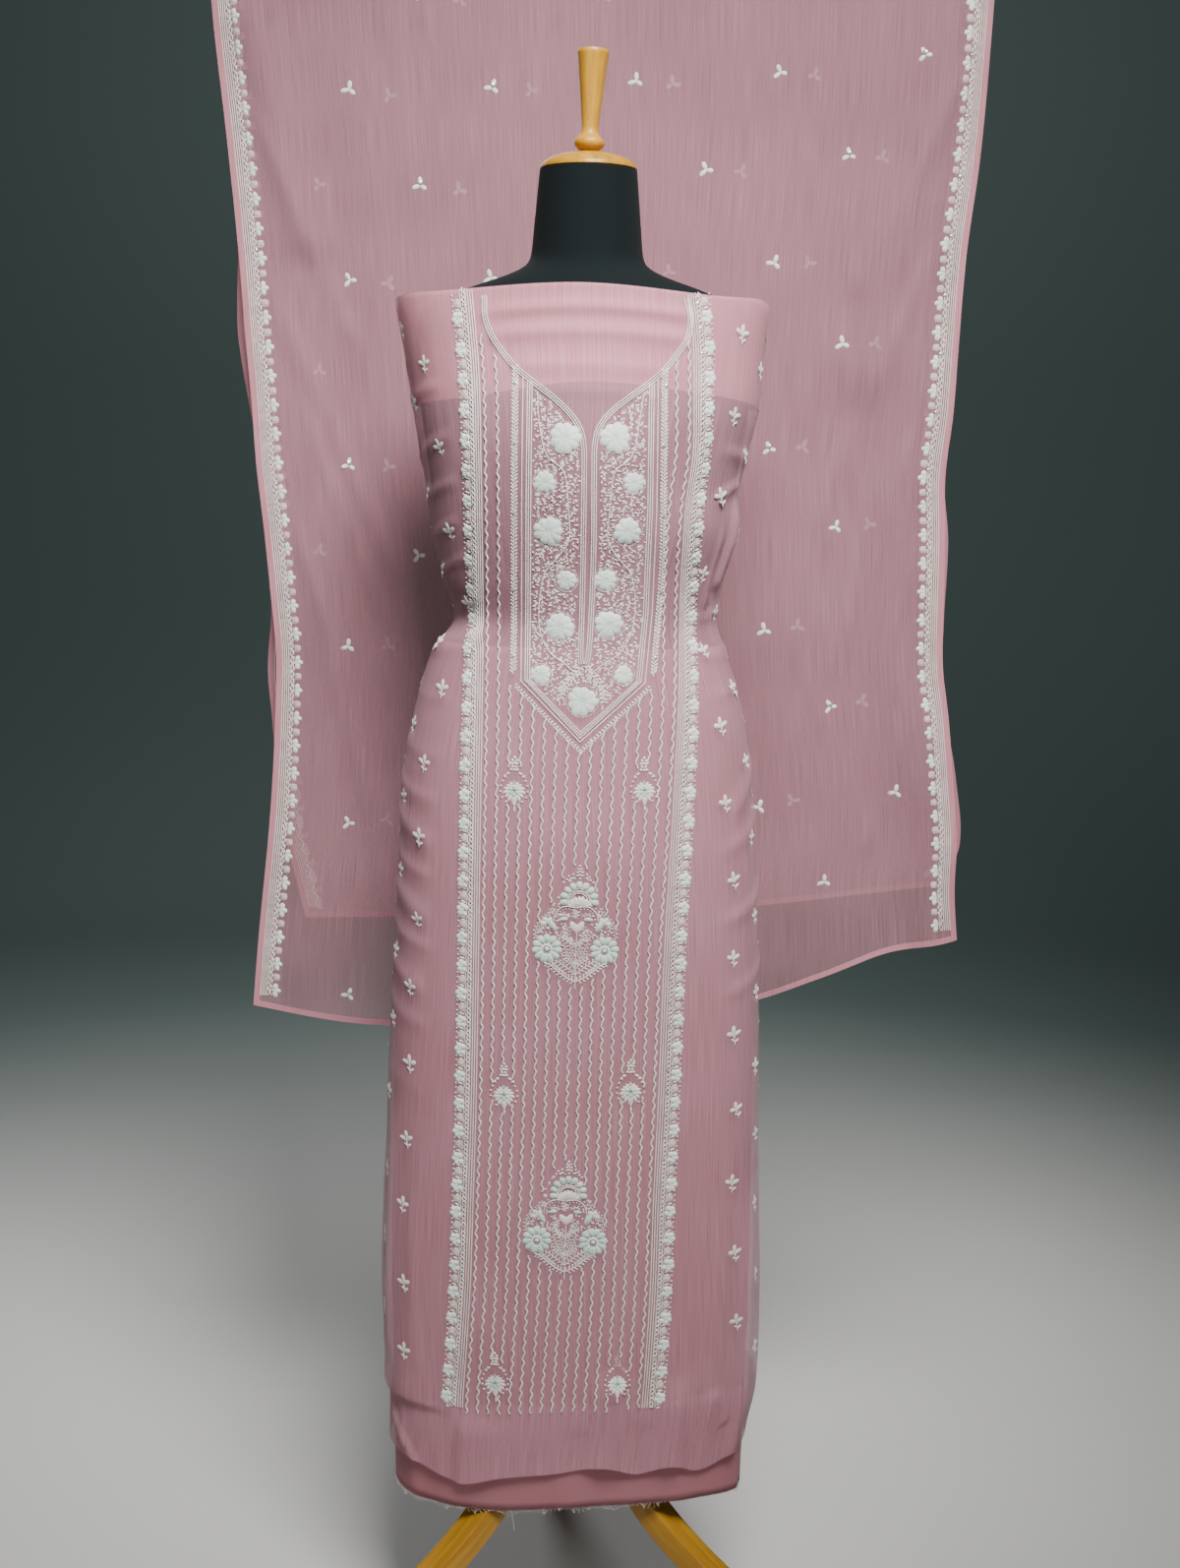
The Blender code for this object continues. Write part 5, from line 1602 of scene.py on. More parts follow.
@dataclass(frozen=True)
class Patch:
    """A surface in its own two measures, on which things are sewn.

    place turns the two measures into points, outward is -1 where the first runs leftwards, and
    step is a small move of the first measure.
    """

    place: Surface
    outward: float = 1.0
    step: float = 0.0005

    def frame_at(self, spots: np.ndarray) -> tuple[np.ndarray, np.ndarray, np.ndarray]:
        """Points, directions out of the cloth and directions up it at places given in rows."""
        u, v = spots[:, 0], spots[:, 1]
        right = self.place(u + self.step, v) - self.place(u - self.step, v)
        up = self.place(u, v + 0.0005) - self.place(u, v - 0.0005)
        normal = np.cross(right, up) * self.outward
        normal /= np.linalg.norm(normal, axis=1, keepdims=True)
        return self.place(u, v), normal, up / np.linalg.norm(up, axis=1, keepdims=True)


class NeedleWork:
    """All that is sewn on one cloth: threads by gauge and motifs by kind, gathered and then grown."""

    def __init__(self, name: str, slot: str = "georgette") -> None:
        """Begin with nothing sewn; name is that of the cloth's pieces, and slot is not used."""
        self.name, self.slot = name, slot
        self.threads: dict[Gauge, dict[Patch, list]] = {}
        self.spots: dict[Motif, dict[Patch, list]] = {}

    def thread(self, patch: Patch, path: np.ndarray, gauge: Gauge, run: np.ndarray | None = None) -> None:
        """Sew a thread along a path on a patch; run is the distance that its waves count."""
        self.threads.setdefault(gauge, {}).setdefault(patch, []).append((path, run))

    def sew(self, patch: Patch, motif: Motif, spots: Sequence[tuple[float, float, float, float]]) -> None:
        """Sew motifs at spots of (measure, measure, turn in degrees, size)."""
        if len(spots):
            self.spots.setdefault(motif, {}).setdefault(patch, []).append(np.array(spots, float))

    def spray(self, patch: Patch, knots: Sequence[tuple], gauge: Gauge, motif: Motif, step: float,
              reach: float, splay: float, size: float, stagger: float = 0.5) -> None:
        """Sew a stem with motifs on both its sides.

        Args:
            patch: The surface, in metres both ways.
            knots: Points of the stem.
            gauge: The stem's thread.
            motif: What stands beside it.
            step: Spacing along the stem.
            reach: Distance of the motifs from the stem.
            splay: Degrees that they turn away from it.
            size: Their size.
            stagger: Share of a step that the second side lags behind.
        """
        path = smooth_path(knots, 0.002)
        self.thread(patch, path, gauge)
        run, slope = run_of(path), slope_of(path)
        for side, start in ((1, 0.0), (-1, stagger)):
            at = np.arange((0.4 + start) * step, run[-1], step)
            x, y, dx, dy = (np.interp(at, run, line) for line in (*path.T, *slope.T))
            turn = np.degrees(np.arctan2(-dx, dy)) + side * splay
            spots = np.stack([x - dy * reach * side, y + dx * reach * side, turn, np.full_like(at, size)], -1)
            self.sew(patch, motif, spots)

    def grow_threads(self, gauge: Gauge, chains: dict, finish: Material) -> Object:
        """All threads of one gauge as one piece."""
        points, normals, runs, edges, start = [], [], [], [], 0
        for patch, paths in chains.items():
            place, normal, _ = patch.frame_at(np.concatenate([path for path, _ in paths]))
            run, first = run_of(place), start
            points.append(place)
            normals.append(normal)
            for path, given in paths:
                at = start - first
                runs.append(run[at:at + len(path)] if given is None else given)
                edges += [(start + i, start + i + 1) for i in range(len(path) - 1)]
                start += len(path)
        guide = bpy.data.meshes.new("guide")
        guide.from_pydata(np.concatenate(points).tolist(), edges, [])
        set_attribute(guide, "cloth_normal", np.concatenate(normals))
        set_attribute(guide, "run", np.concatenate(runs))
        size = gauge.value
        return grow(f"{self.name}_{gauge.name.lower()}_threads", guide, Growth.THREAD, {
            "Step": size.step, "Swing": size.swing, "Period": size.period, "Lift": size.lift,
            "Radius": size.radius, "Sides": size.sides, "Finish": finish,
        })

    def grow_motifs(self, motif: Motif, groups: dict, finish: Material) -> Object:
        """All motifs of one kind as one piece."""
        spots = [np.concatenate(group) for group in groups.values()]
        frames = [patch.frame_at(rows) for patch, rows in zip(groups, spots)]
        points, normals, ups = (np.concatenate(part) for part in zip(*frames))
        turn = np.radians(np.concatenate(spots)[:, 2:3])
        template = motif.shape().template(f"{motif.value}_template")
        guide = bpy.data.meshes.new("guide")
        guide.from_pydata(points.tolist(), [], [])
        set_attribute(guide, "cloth_normal", normals)
        set_attribute(guide, "upward", ups * np.cos(turn) + np.cross(normals, ups) * np.sin(turn))
        set_attribute(guide, "size", np.concatenate(spots)[:, 3])
        made = grow(f"{self.name}_{motif.plural}", guide, Growth.SCATTER, {
            "Motif": template, "Lift": 0.0011 if motif is Motif.SEQUIN else 0.0001, "Unevenness": 0.06,
            "Sway": 0.08, "Seed": 3, "Finish": finish,
        })
        mesh = template.data
        bpy.data.objects.remove(template, do_unlink=True)
        bpy.data.meshes.remove(mesh)
        return made

    def finish(self, floss: Material, silver: Material) -> list[str]:
        """Grow all threads and motifs into plain meshes.

        Args:
            floss: Material of the threads and motifs.
            silver: Material of the sequins.

        Returns:
            The names of the pieces.
        """
        made = [self.grow_threads(gauge, chains, floss) for gauge, chains in self.threads.items()]
        made += [
            self.grow_motifs(motif, spots, silver if motif is Motif.SEQUIN else floss)
            for motif, spots in self.spots.items()
        ]
        for obj in made:
            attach(obj, "root")
            LOG.info("%s: %d faces", obj.name, len(obj.data.polygons))
        return [obj.name for obj in made]


@dataclass(frozen=True)
class PanelRow:
    """The front panel at a height: the inner cords of its left and right borders."""

    z: float
    left: float
    right: float


@dataclass(frozen=True)
class Rose:
    """A full rose on the yoke: its place and its radius."""

    x: float
    z: float
    radius: float


@dataclass(frozen=True)
class Branch:
    """A stem of the large bouquet, in millimetres from its foot, with what grows on it."""

    knots: tuple[tuple[float, float], ...]
    gauge: Gauge
    motif: Motif
    step: float
    reach: float
    splay: float
    size: float


PANEL_ROWS = rows_of(
    PanelRow,
    (0.2, -0.1095, 0.0755), (0.285, -0.1085, 0.0768), (0.335, -0.1055, 0.0795), (0.415, -0.1015, 0.0825),
    (0.5, -0.0995, 0.0835), (0.605, -0.0972, 0.086), (0.78, -0.0958, 0.089), (0.88, -0.0953, 0.093),
    (1.015, -0.095, 0.0976), (1.13, -0.0958, 0.0968), (1.205, -0.0966, 0.0994), (1.255, -0.0976, 0.1048),
    (1.307, -0.0992, 0.1044), (1.355, -0.1028, 0.103),
    (1.405, -0.1085, 0.0968),
)
# half widths of the large and small bouquets at heights above their feet, where the waves stop
LARGE_BOUQUET = (
    (0.0, 0.002), (0.007, 0.011), (0.018, 0.023), (0.026, 0.036), (0.05, 0.043), (0.062, 0.038),
    (0.077, 0.028), (0.09, 0.024), (0.104, 0.016), (0.116, 0.012), (0.127, 0.0),
)
SMALL_BOUQUET = ((0.0, 0.001), (0.008, 0.004), (0.016, 0.014), (0.034, 0.012), (0.04, 0.006), (0.052, 0.0))
# the middle of the slit and of the yoke at heights, about which the yoke's halves mirror each other
YOKE_MIDDLE = (
    (0.98, 1.052, 1.11, 1.2, 1.29, 1.315, 1.337, 1.366, 1.4),
    (0.0016, 0.004, 0.0063, 0.0066, 0.0052, 0.0065, 0.005, 0.004, -0.0004),
)
# lines of the yoke's left half: neckline and slit, two frames, leafy ear, main vine and leafy tip
NECKLINE = (
    (-0.0945, 1.4005), (-0.0925, 1.378), (-0.087, 1.365), (-0.079, 1.352), (-0.0655, 1.336),
    (-0.048, 1.3215), (-0.0315, 1.3095), (-0.0174, 1.2975), (-0.0065, 1.2855), (0.0, 1.2735),
    (0.0026, 1.26), (0.0034, 1.245), (0.0036, 1.16), (0.0032, 1.09), (0.0026, 1.062), (0.0036, 1.052),
)
OUTER_FRAME = ((-0.0578, 1.324), (-0.0578, 1.2), (-0.0574, 1.1), (-0.057, 1.0335), (0.002, 0.9755))
INNER_FRAME = ((-0.0535, 1.32), (-0.0535, 1.2), (-0.0533, 1.1), (-0.053, 1.035), (0.002, 0.9795))
EAR = ((-0.0648, 1.04), (-0.065, 1.14), (-0.0652, 1.24), (-0.0654, 1.333))
MAIN_VINE = (
    (-0.044, 1.316), (-0.0425, 1.286), (-0.035, 1.252), (-0.0195, 1.238), (-0.015, 1.222), (-0.013, 1.2),
    (-0.012, 1.172), (-0.023, 1.154), (-0.0345, 1.14), (-0.04, 1.112), (-0.039, 1.082), (-0.029, 1.062),
    (-0.015, 1.052), (-0.006, 1.044),
)
LEAFY_TIP = ((0.0036, 1.05), (-0.006, 1.04), (-0.015, 1.03), (-0.0185, 1.017))
# how far across the slit's left cord lies at heights, where the vine field ends
SLIT_EDGE = (
    (1.046, 1.052, 1.25, 1.268, 1.281, 1.295, 1.311, 1.318),
    (0.0045, -0.0034, -0.0036, -0.007, -0.013, -0.027, -0.044, -0.05),
)
ROSES = rows_of(
    Rose,
    (-0.0169, 1.2675, 0.014), (0.0304, 1.2684, 0.014), (-0.0359, 1.2259, 0.0102), (0.049, 1.2265, 0.0098),
    (-0.0317, 1.1796, 0.0135), (0.0435, 1.1808, 0.0135), (-0.0141, 1.1327, 0.0102),
    (0.0237, 1.1333, 0.0102), (-0.0202, 1.0876, 0.0135), (0.0274, 1.0904, 0.0135),
    (-0.0376, 1.0406, 0.0097), (0.0427, 1.0419, 0.0097),
    (0.003, 1.0157, 0.0147),
)
# dots over and round the bouquet's fan flower, in millimetres from its foot
FAN_DOTS = (
    (3.2, 125), (1.8, 122), (4.7, 122), (1.2, 118.7), (5.9, 118.7), (3.4, 119.6), (1.0, 115.4),
    (5.7, 115.4), (3.4, 116.2), (3.4, 112.4), (-9.4, 111.4), (-7.6, 114.6), (-5.6, 111.8), (-3.5, 116.6),
    (-3.4, 112.8), (10, 116.6), (10.2, 112.8), (13.6, 110.8), (12.6, 113.8), (16.6, 108.6),
    (-12.6, 108.4),
)
# places in the bouquet kept clear of lace: the fan flower, the daisies and the heart, in metres from its foot
BOUQUET_CLEARINGS = (
    (0.003, 0.0905, 0.0205), (-0.0282, 0.0411, 0.0118), (0.0288, 0.04, 0.0118), (0.0012, 0.0636, 0.009),
)
BRANCHES = rows_of(
    Branch,
    (((0.8, 83), (6.0, 84.2), (12.5, 83.8), (17.8, 80.2), (21.0, 75.0), (21.8, 69.5)),
     Gauge.VINE, Motif.DOT, 2.9, 2.5, 20, 1.1),
    (((23.5, 83.0), (26.5, 76.0), (31.5, 71.5), (36.5, 66.0), (39.6, 59.0), (39.0, 51.0)),
     Gauge.FINE, Motif.DOT, 2.7, 1.9, 20, 1.15),
    (((26.0, 70.0), (32.0, 64.5), (34.5, 57.0)), Gauge.FINE, Motif.LEAF, 3.0, 0.5, 50, 0.7),
    (((1.0, 72), (1.2, 80)), Gauge.FINE, Motif.LEAF, 2.2, 0.4, 55, 0.75),
    (((5.5, 74), (11.0, 76.5), (15.0, 74.5)), Gauge.FINE, Motif.DOT, 2.4, 1.6, 30, 1.0),
    *((knots, Gauge.FINE, Motif.DOT, 2.6, 1.9, 30, 1.15) for knots in (
        ((0.2, 43), (6, 48.4), (10.4, 53.4), (12.6, 61)), ((0.2, 46), (7, 49), (15, 53.2), (19, 56.0)),
        ((-0.2, 24.5), (6, 34), (10.6, 42.6), (11.6, 48)), ((-0.2, 24.5), (8, 31), (14.2, 36.4)),
        ((-0.2, 33), (4.4, 41), (5.0, 50)), ((7.0, 49), (8.4, 57), (7.4, 64)),
    )),
    (((-0.2, 14.5), (8, 21.5), (16.6, 27.6), (20, 29)), Gauge.FINE, Motif.LEAF, 2.9, 0.5, 52, 0.78),
    (((-0.2, 20), (6, 26.6), (13, 31)), Gauge.FINE, Motif.DOT, 2.6, 1.8, 30, 1.0),
    (((0, 7.4), (8.6, 11.6), (16.8, 17.4), (25, 24.4), (31, 26.5)),
     Gauge.VINE, Motif.LEAF, 2.8, 0.5, 55, 0.98),
    (((10, 15.6), (18, 22.4), (24, 28)), Gauge.FINE, Motif.DOT, 2.6, 1.5, 20, 0.95),
)


@dataclass
class FrontPanel:
    """The embroidered front panel: waving lines, borders, neckline, rose vines and bouquets."""

    cloth: WornCloth
    line_count: int = 17
    line_inset: float = 0.0045
    path_step: float = 0.004
    border_repeat: float = 0.0287
    border_cord_gap: float = 0.0025
    neckline_cord_gap: float = 0.0021
    frame_cord_gap: float = 0.0022
    large_feet: tuple = ((0.0005, 0.729), (-0.0056, 0.424))
    small_feet: tuple = (
        (-0.0622, 0.907), (0.0651, 0.909), (-0.0692, 0.597), (0.0579, 0.603), (-0.0752, 0.288),
        (0.0508, 0.291),
    )

    def __post_init__(self) -> None:
        """Set up the panel's patch and its collector."""
        self.patch = Patch(lambda x, z: self.cloth.place(self.cloth.angle_at(x, z), z))
        self.work = NeedleWork("panel")

    def thread(self, path: np.ndarray, gauge: Gauge, run: np.ndarray | None = None) -> None:
        """Sew a thread along a path of places (across, height)."""
        self.work.thread(self.patch, path, gauge, run)

    def sew(self, motif: Motif, spots: Sequence) -> None:
        """Sew motifs at spots of (across, height, turn in degrees, size)."""
        self.work.sew(self.patch, motif, spots)

    def row_at(self, z: np.ndarray) -> tuple[np.ndarray, np.ndarray]:
        """Left and right inner cord at heights."""
        return tuple(np.moveaxis(read_table(PANEL_ROWS, z), -1, 0))

    def line_at(self, share: float, z: np.ndarray) -> np.ndarray:
        """Places across of a waving line at a share of the way from the first to the last."""
        left, right = self.row_at(z)
        return left + self.line_inset + share * (right - left - 2 * self.line_inset)

    def beside_cord(self, side: int) -> Patch:
        """Patch measured outwards from a border's inner cord, on the left (-1) or right (1) side."""
        def place(distance: np.ndarray, z: np.ndarray) -> np.ndarray:
            """Points at distances outwards from the cord."""
            left, right = self.row_at(z)
            start = self.cloth.angle_at(left if side < 0 else right, z)
            return self.cloth.place(self.cloth.beside(start, z, side * distance), z)
        return Patch(place, outward=side)

    def covered(self, x: np.ndarray, z: np.ndarray) -> np.ndarray:
        """Whether places lie under a bouquet."""
        hidden = np.zeros_like(x, bool)
        for feet, outline in ((self.large_feet, LARGE_BOUQUET), (self.small_feet, SMALL_BOUQUET)):
            up, half = np.array(outline).T
            for foot_x, foot_z in feet:
                hidden |= np.abs(x - foot_x) < np.interp(z - foot_z, up, half, left=-1, right=-1)
        return hidden

    def waves(self) -> None:
        """Seventeen waving lines from the hem band to the yoke, broken at the bouquets."""
        for line in range(self.line_count):
            share = line / (self.line_count - 1)
            edge = min(line, self.line_count - 1 - line)
            middle = self.line_at(share, np.array([1.0]))[0]
            v_height = float(np.interp(middle, (-0.0606, 0.0008, 0.0669), (1.03, 0.9695, 1.03)))
            high = (1.366, 1.345)[edge] if edge < 2 else v_height
            z = np.arange(0.272 + 0.013 * share, high, self.path_step)
            x = self.line_at(share, z)
            for piece in runs_where(~self.covered(x, z), 2):
                path = np.stack([x[piece], z[piece]], -1)
                self.thread(path, Gauge.WAVE, z[piece] + 0.0009 * math.sin(2.1 * line))

    def border(self, side: int) -> None:
        """One border: three cords, crossed vine, flowers in a row, outer scallops and sequins."""
        patch, work = self.beside_cord(side), self.work
        low, high = (0.278, 1.407) if side < 0 else (0.284, 1.4065)
        z = np.arange(low, high, self.path_step)
        for cord in range(3):
            work.thread(patch, upright(cord * self.border_cord_gap, z), Gauge.CORD)
        z = np.arange(low, high, self.path_step / 2)
        turn = z * math.tau / 0.0092
        for phase in (0.0, math.pi):
            work.thread(patch, upright(0.0094 + 0.0024 * np.sin(turn + phase), z), Gauge.VINE)
        work.thread(patch, upright(0.013 + 0.0006 * np.sin(turn), z), Gauge.FINE)
        step, pitch = 0.0023, self.border_repeat
        heights = np.arange(low + 0.002, high - 0.002, step)
        work.sew(patch, Motif.LEAF, [(0.007, height, -side * 22, 0.5) for height in heights])
        work.sew(patch, Motif.LEAF, [(0.0117, height + step / 2, side * 30, 0.5) for height in heights])
        flowers = np.arange(low + 0.01, high - 0.006, pitch)
        work.sew(patch, Motif.BLOSSOM, [
            (0.0174, height, -side * (90 + 20 * math.sin(5 * height)), 1.1) for height in flowers
        ])
        work.sew(patch, Motif.BUD, [(0.0166, height + pitch / 2, -side * 90, 1.0) for height in flowers])
        for offset, size in ((0.26, 1.0), (-0.26, 1.0), (0.38, 0.8), (-0.38, 0.8)):
            leaves = [(0.0142, height + offset * pitch, -side * 75, size) for height in flowers]
            work.sew(patch, Motif.LEAF, leaves)
        work.sew(patch, Motif.DOT, [
            (0.0222, height + share * pitch, 0, 1.0)
            for height in flowers for share in (0.24, 0.4, 0.6, 0.76)
        ])
        work.sew(patch, Motif.SEQUIN, [
            (0.0094 + 0.0012 * math.sin(7 * height), height, 0, 0.95)
            for height in np.arange(low + 0.008, high, 0.0235)
        ])

    def mirrored(self, knots: Sequence[tuple], side: int) -> list[tuple]:
        """Knots given for the left half, or their mirror images about the slit."""
        if side < 0:
            return list(knots)
        return [(2 * float(np.interp(z, *YOKE_MIDDLE)) - x, z) for x, z in knots]

    def yoke_half(self, side: int) -> None:
        """One half of the yoke's lines: neckline and slit cords, frame, ear, and the V under them."""
        path = smooth_path(self.mirrored(NECKLINE, side), 0.003)
        slope = slope_of(path)
        aside = np.stack([slope[:, 1], -slope[:, 0]], -1)
        for cord in range(3):
            self.thread(path + aside * (cord * self.neckline_cord_gap) * -side, Gauge.CORD)
        for knots, cord in ((OUTER_FRAME, 0), (INNER_FRAME, 0), (INNER_FRAME, 1), (INNER_FRAME, 2)):
            offset = cord * self.frame_cord_gap
            moved = [(x + offset * (x < -0.01), z + 1.35 * offset * (x > -0.01)) for x, z in knots]
            straight = self.mirrored(moved, side)
            for start, end in zip(straight, straight[1:]):
                count = max(3, round(math.dist(start, end) / self.path_step))
                self.thread(np.linspace(start, end, count), Gauge.CORD)
        ear = self.mirrored(EAR, side)
        self.work.spray(self.patch, ear, Gauge.FINE, Motif.LEAF, 0.0034, 0.0004, 38, 0.78)
        sequins = self.mirrored([(-0.065, z) for z in (1.318, 1.262, 1.196, 1.122, 1.058)], side)
        self.sew(Motif.SEQUIN, [(x, z, 0, 1.1) for x, z in sequins])
        tip, corner = np.array([0.0022, 0.968]), np.array(self.mirrored([(-0.0615, 1.03)], side)[0])
        for share in np.linspace(0, 1, 26):
            x, z = corner + (tip - corner) * share
            self.sew(Motif.DOT, [(x, z, 0, 1.25), (x - 0.0008 * side, z - 0.0034, 0, 0.9)])
            self.sew(Motif.LEAF, [(x, z - 0.001, 180 + side * 35, 0.5)])

    def in_vine_field(self, spots: np.ndarray, side: int) -> np.ndarray:
        """Which places lie between the frame and the slit, and clear of the roses."""
        z = spots[:, 1]
        x = spots[:, 0] if side < 0 else 2 * np.interp(z, *YOKE_MIDDLE) - spots[:, 0]
        free = (x > -0.0468) & (x < np.interp(z, *SLIT_EDGE)) & (z > 1.039 - 1.04 * (x + 0.0468))
        for rose in ROSES:
            free &= np.hypot(spots[:, 0] - rose.x, z - rose.z) > rose.radius + 0.0012
        return free

    def lace(self, inside: Callable[[np.ndarray], np.ndarray], low: tuple, high: tuple,
             pitch: float = 0.0034) -> None:
        """Fill a shape with small leaves and dots that lean as scrolling tendrils do.

        Args:
            inside: Says which places (across, height) belong to the shape.
            low: Its lowest corner.
            high: Its highest corner.
            pitch: Distance between neighbours.
        """
        columns, rows = np.arange(low[0], high[0], pitch), np.arange(low[1], high[1], 0.87 * pitch)
        across, up = np.meshgrid(columns, rows)
        across = across + 0.5 * pitch * (np.arange(len(up)) % 2)[:, None]
        a, b = across.ravel(), up.ravel()
        stray = np.stack([np.sin(2100 * b + 900 * a), np.sin(1700 * a - 800 * b)], -1)
        spots = np.stack([a, b], -1) + 0.3 * pitch * stray
        x, z = spots.T
        turn = 150 * np.sin(420 * x + 1.2 * np.sin(260 * z)) + 120 * np.cos(330 * z)
        kept = inside(spots)
        leafy = kept & (np.arange(len(kept)) % 3 > 0)
        sizes = 0.66 + 0.12 * np.sin(np.arange(len(kept)) * 1.9)
        self.sew(Motif.LEAF, np.column_stack([spots, turn, sizes])[leafy])
        self.sew(Motif.DOT, np.column_stack([spots, turn, 1.5 * sizes])[kept & ~leafy])

    def rose_vines(self) -> None:
        """Thirteen full roses in a field of winding vines, leaves and strings of dots."""
        self.sew(Motif.ROSE, [(rose.x, rose.z, 40 * i, rose.radius / 0.0102) for i, rose in enumerate(ROSES)])
        self.sew(Motif.SEQUIN, [
            (rose.x + a * rose.radius, rose.z + b * rose.radius, 0, 0.95)
            for rose in ROSES[3:] for a, b in ((0.3, 0.2), (-0.4, 0.3))
        ])
        for side, low, high in ((-1, -0.05, 0.001), (1, 0.001, 0.066)):
            path = smooth_path(self.mirrored(MAIN_VINE, side), 0.0008)
            for piece in runs_where(self.in_vine_field(path, side), 8):
                self.thread(path[piece[::2]], Gauge.CORD)
            self.lace(lambda spots: self.in_vine_field(spots, side), (low, 1.012), (high, 1.322))
        for rose in ROSES:
            rim = rose.radius + 0.001
            self.sew(Motif.DOT, [
                (rose.x + rim * math.cos(t), rose.z + rim * math.sin(t), 0, 0.62)
                for t in np.arange(0, math.tau, 0.155)
            ])
        for side in (-1, 1):
            tip = self.mirrored(LEAFY_TIP, side)
            self.work.spray(self.patch, tip, Gauge.VINE, Motif.LEAF, 0.004, 0.0004, 50, 0.85)

    def bouquet(self, foot: tuple[float, float]) -> None:
        """One large bouquet: fan flower over a heart, two daisies, bells and leafy sprays."""
        up, half = np.array(LARGE_BOUQUET).T

        def at(points: Sequence[tuple[float, float]], side: int = 1) -> list[tuple[float, float]]:
            """Places given in millimetres from the foot, or mirrored about the stem."""
            return [(foot[0] + side * x * 0.001, foot[1] + z * 0.001) for x, z in points]

        def put(motif: Motif, x: float, z: float, turn: float, size: float, side: int = 1) -> None:
            """Sew a motif at a place in millimetres from the foot, or its mirror image."""
            self.sew(motif, [(*at([(x, z)], side)[0], turn, size)])

        def clear(spots: np.ndarray) -> np.ndarray:
            """Which places lie in the outline, clear of the flowers and the heart."""
            x, z = (spots - foot).T
            free = np.abs(x) < 0.93 * np.interp(z, up, half, left=0, right=0)
            for a, b, r in BOUQUET_CLEARINGS:
                free &= np.hypot(x - a, z - b) > r
            return free

        self.lace(clear, (foot[0] - 0.045, foot[1] + 0.05), (foot[0] + 0.045, foot[1] + 0.112), 0.005)
        self.thread(smooth_path(at([(0, 0), (0, 24), (0.4, 43), (1.0, 57)]), 0.002), Gauge.CORD)
        put(Motif.HEART, 1.2, 63.6, 0, 0.8)
        cx, cz = 3.0, 90.5
        for turn in np.linspace(-98, 98, 9):
            a = math.radians(turn)
            put(Motif.PETAL, cx - 15.0 * math.sin(a), cz + 15.2 * math.cos(a), turn, 1.28)
            put(Motif.DOT, cx - 11.4 * math.sin(a + 0.2), cz + 11.6 * math.cos(a + 0.2), 0, 0.9)
        for radius in (10.4, 8.4):
            turns = np.radians(np.linspace(-118, 118, 17))
            ring = [(cx + radius * math.sin(t), cz - 1 + radius * math.cos(t)) for t in turns]
            self.thread(smooth_path(at(ring), 0.0015), Gauge.VINE)
        for index in range(-4, 5):
            put(Motif.LEAF, cx + 0.9 * index, cz - 7.0, -16 * index, 2.0 - 0.08 * abs(index))
        for x, z in FAN_DOTS:
            put(Motif.DOT, x, z, 0, 1.25)
        put(Motif.DAISY, -28.2, 41.1, 0, 1.06)
        put(Motif.DAISY, 28.8, 40.0, 12, 1.04)
        for side in (-1, 1):
            for branch in BRANCHES:
                self.work.spray(
                    self.patch, at(branch.knots, side), branch.gauge, branch.motif, 1.4 * branch.step * 0.001,
                    branch.reach * 0.001, branch.splay, 0.72 * branch.size, 0.45,
                )
            put(Motif.MINT_LEAF, 17.2, 70.8, side * 84, 1.15, side)
            put(Motif.MINT_LEAF, 27.0, 71.0, side * 150, 1.75, side)
            put(Motif.HALF_BLOSSOM, 28.4, 67.6, -side * 30, 0.78, side)

    def build(self, floss: Material, silver: Material) -> list[str]:
        """Sew the whole panel and return its pieces' names."""
        self.waves()
        for side in (-1, 1):
            self.border(side)
        for side in (-1, 1):
            self.yoke_half(side)
        self.rose_vines()
        for foot in self.large_feet:
            self.bouquet(foot)
        self.sew(Motif.SMALL_BLOOM, [(x, z + 0.026, 0, 1.0) for x, z in self.small_feet])
        return self.work.finish(floss, silver)


@dataclass
class ScatteredSprigs:
    """Sprigs in staggered columns on the plain sides and back of the kameez cloth."""

    cloth: WornCloth
    pitch: float = 0.0775
    low: float = 0.29
    high: float = 1.392

    def build(self, floss: Material, silver: Material) -> list[str]:
        """Sew the sprigs and return their pieces' names."""
        work = NeedleWork("side")
        patch = Patch(lambda angle, z: self.cloth.place(angle, z), step=0.1)
        columns = (-168, -150, -131, -112, -93, -74, -56.5, 54.5, 73, 93, 112, 131, 150, 168)
        for index, angle in enumerate(columns):
            start = self.low + self.pitch * (0.47 + 0.5 * (index % 2))
            for count, z in enumerate(np.arange(start, self.high, self.pitch)):
                sway = 1.2 * math.sin(2.3 * count + index)
                height = z + 0.004 * math.sin(1.7 * count * index)
                work.sew(patch, Motif.SPRIG, [(angle + sway, height, 6 * sway, 1.15)])
                if (count + index) % 4 == 1:
                    work.sew(patch, Motif.SEQUIN, [(angle + sway, z + 0.0015, 0, 0.7)])
        return work.finish(floss, silver)


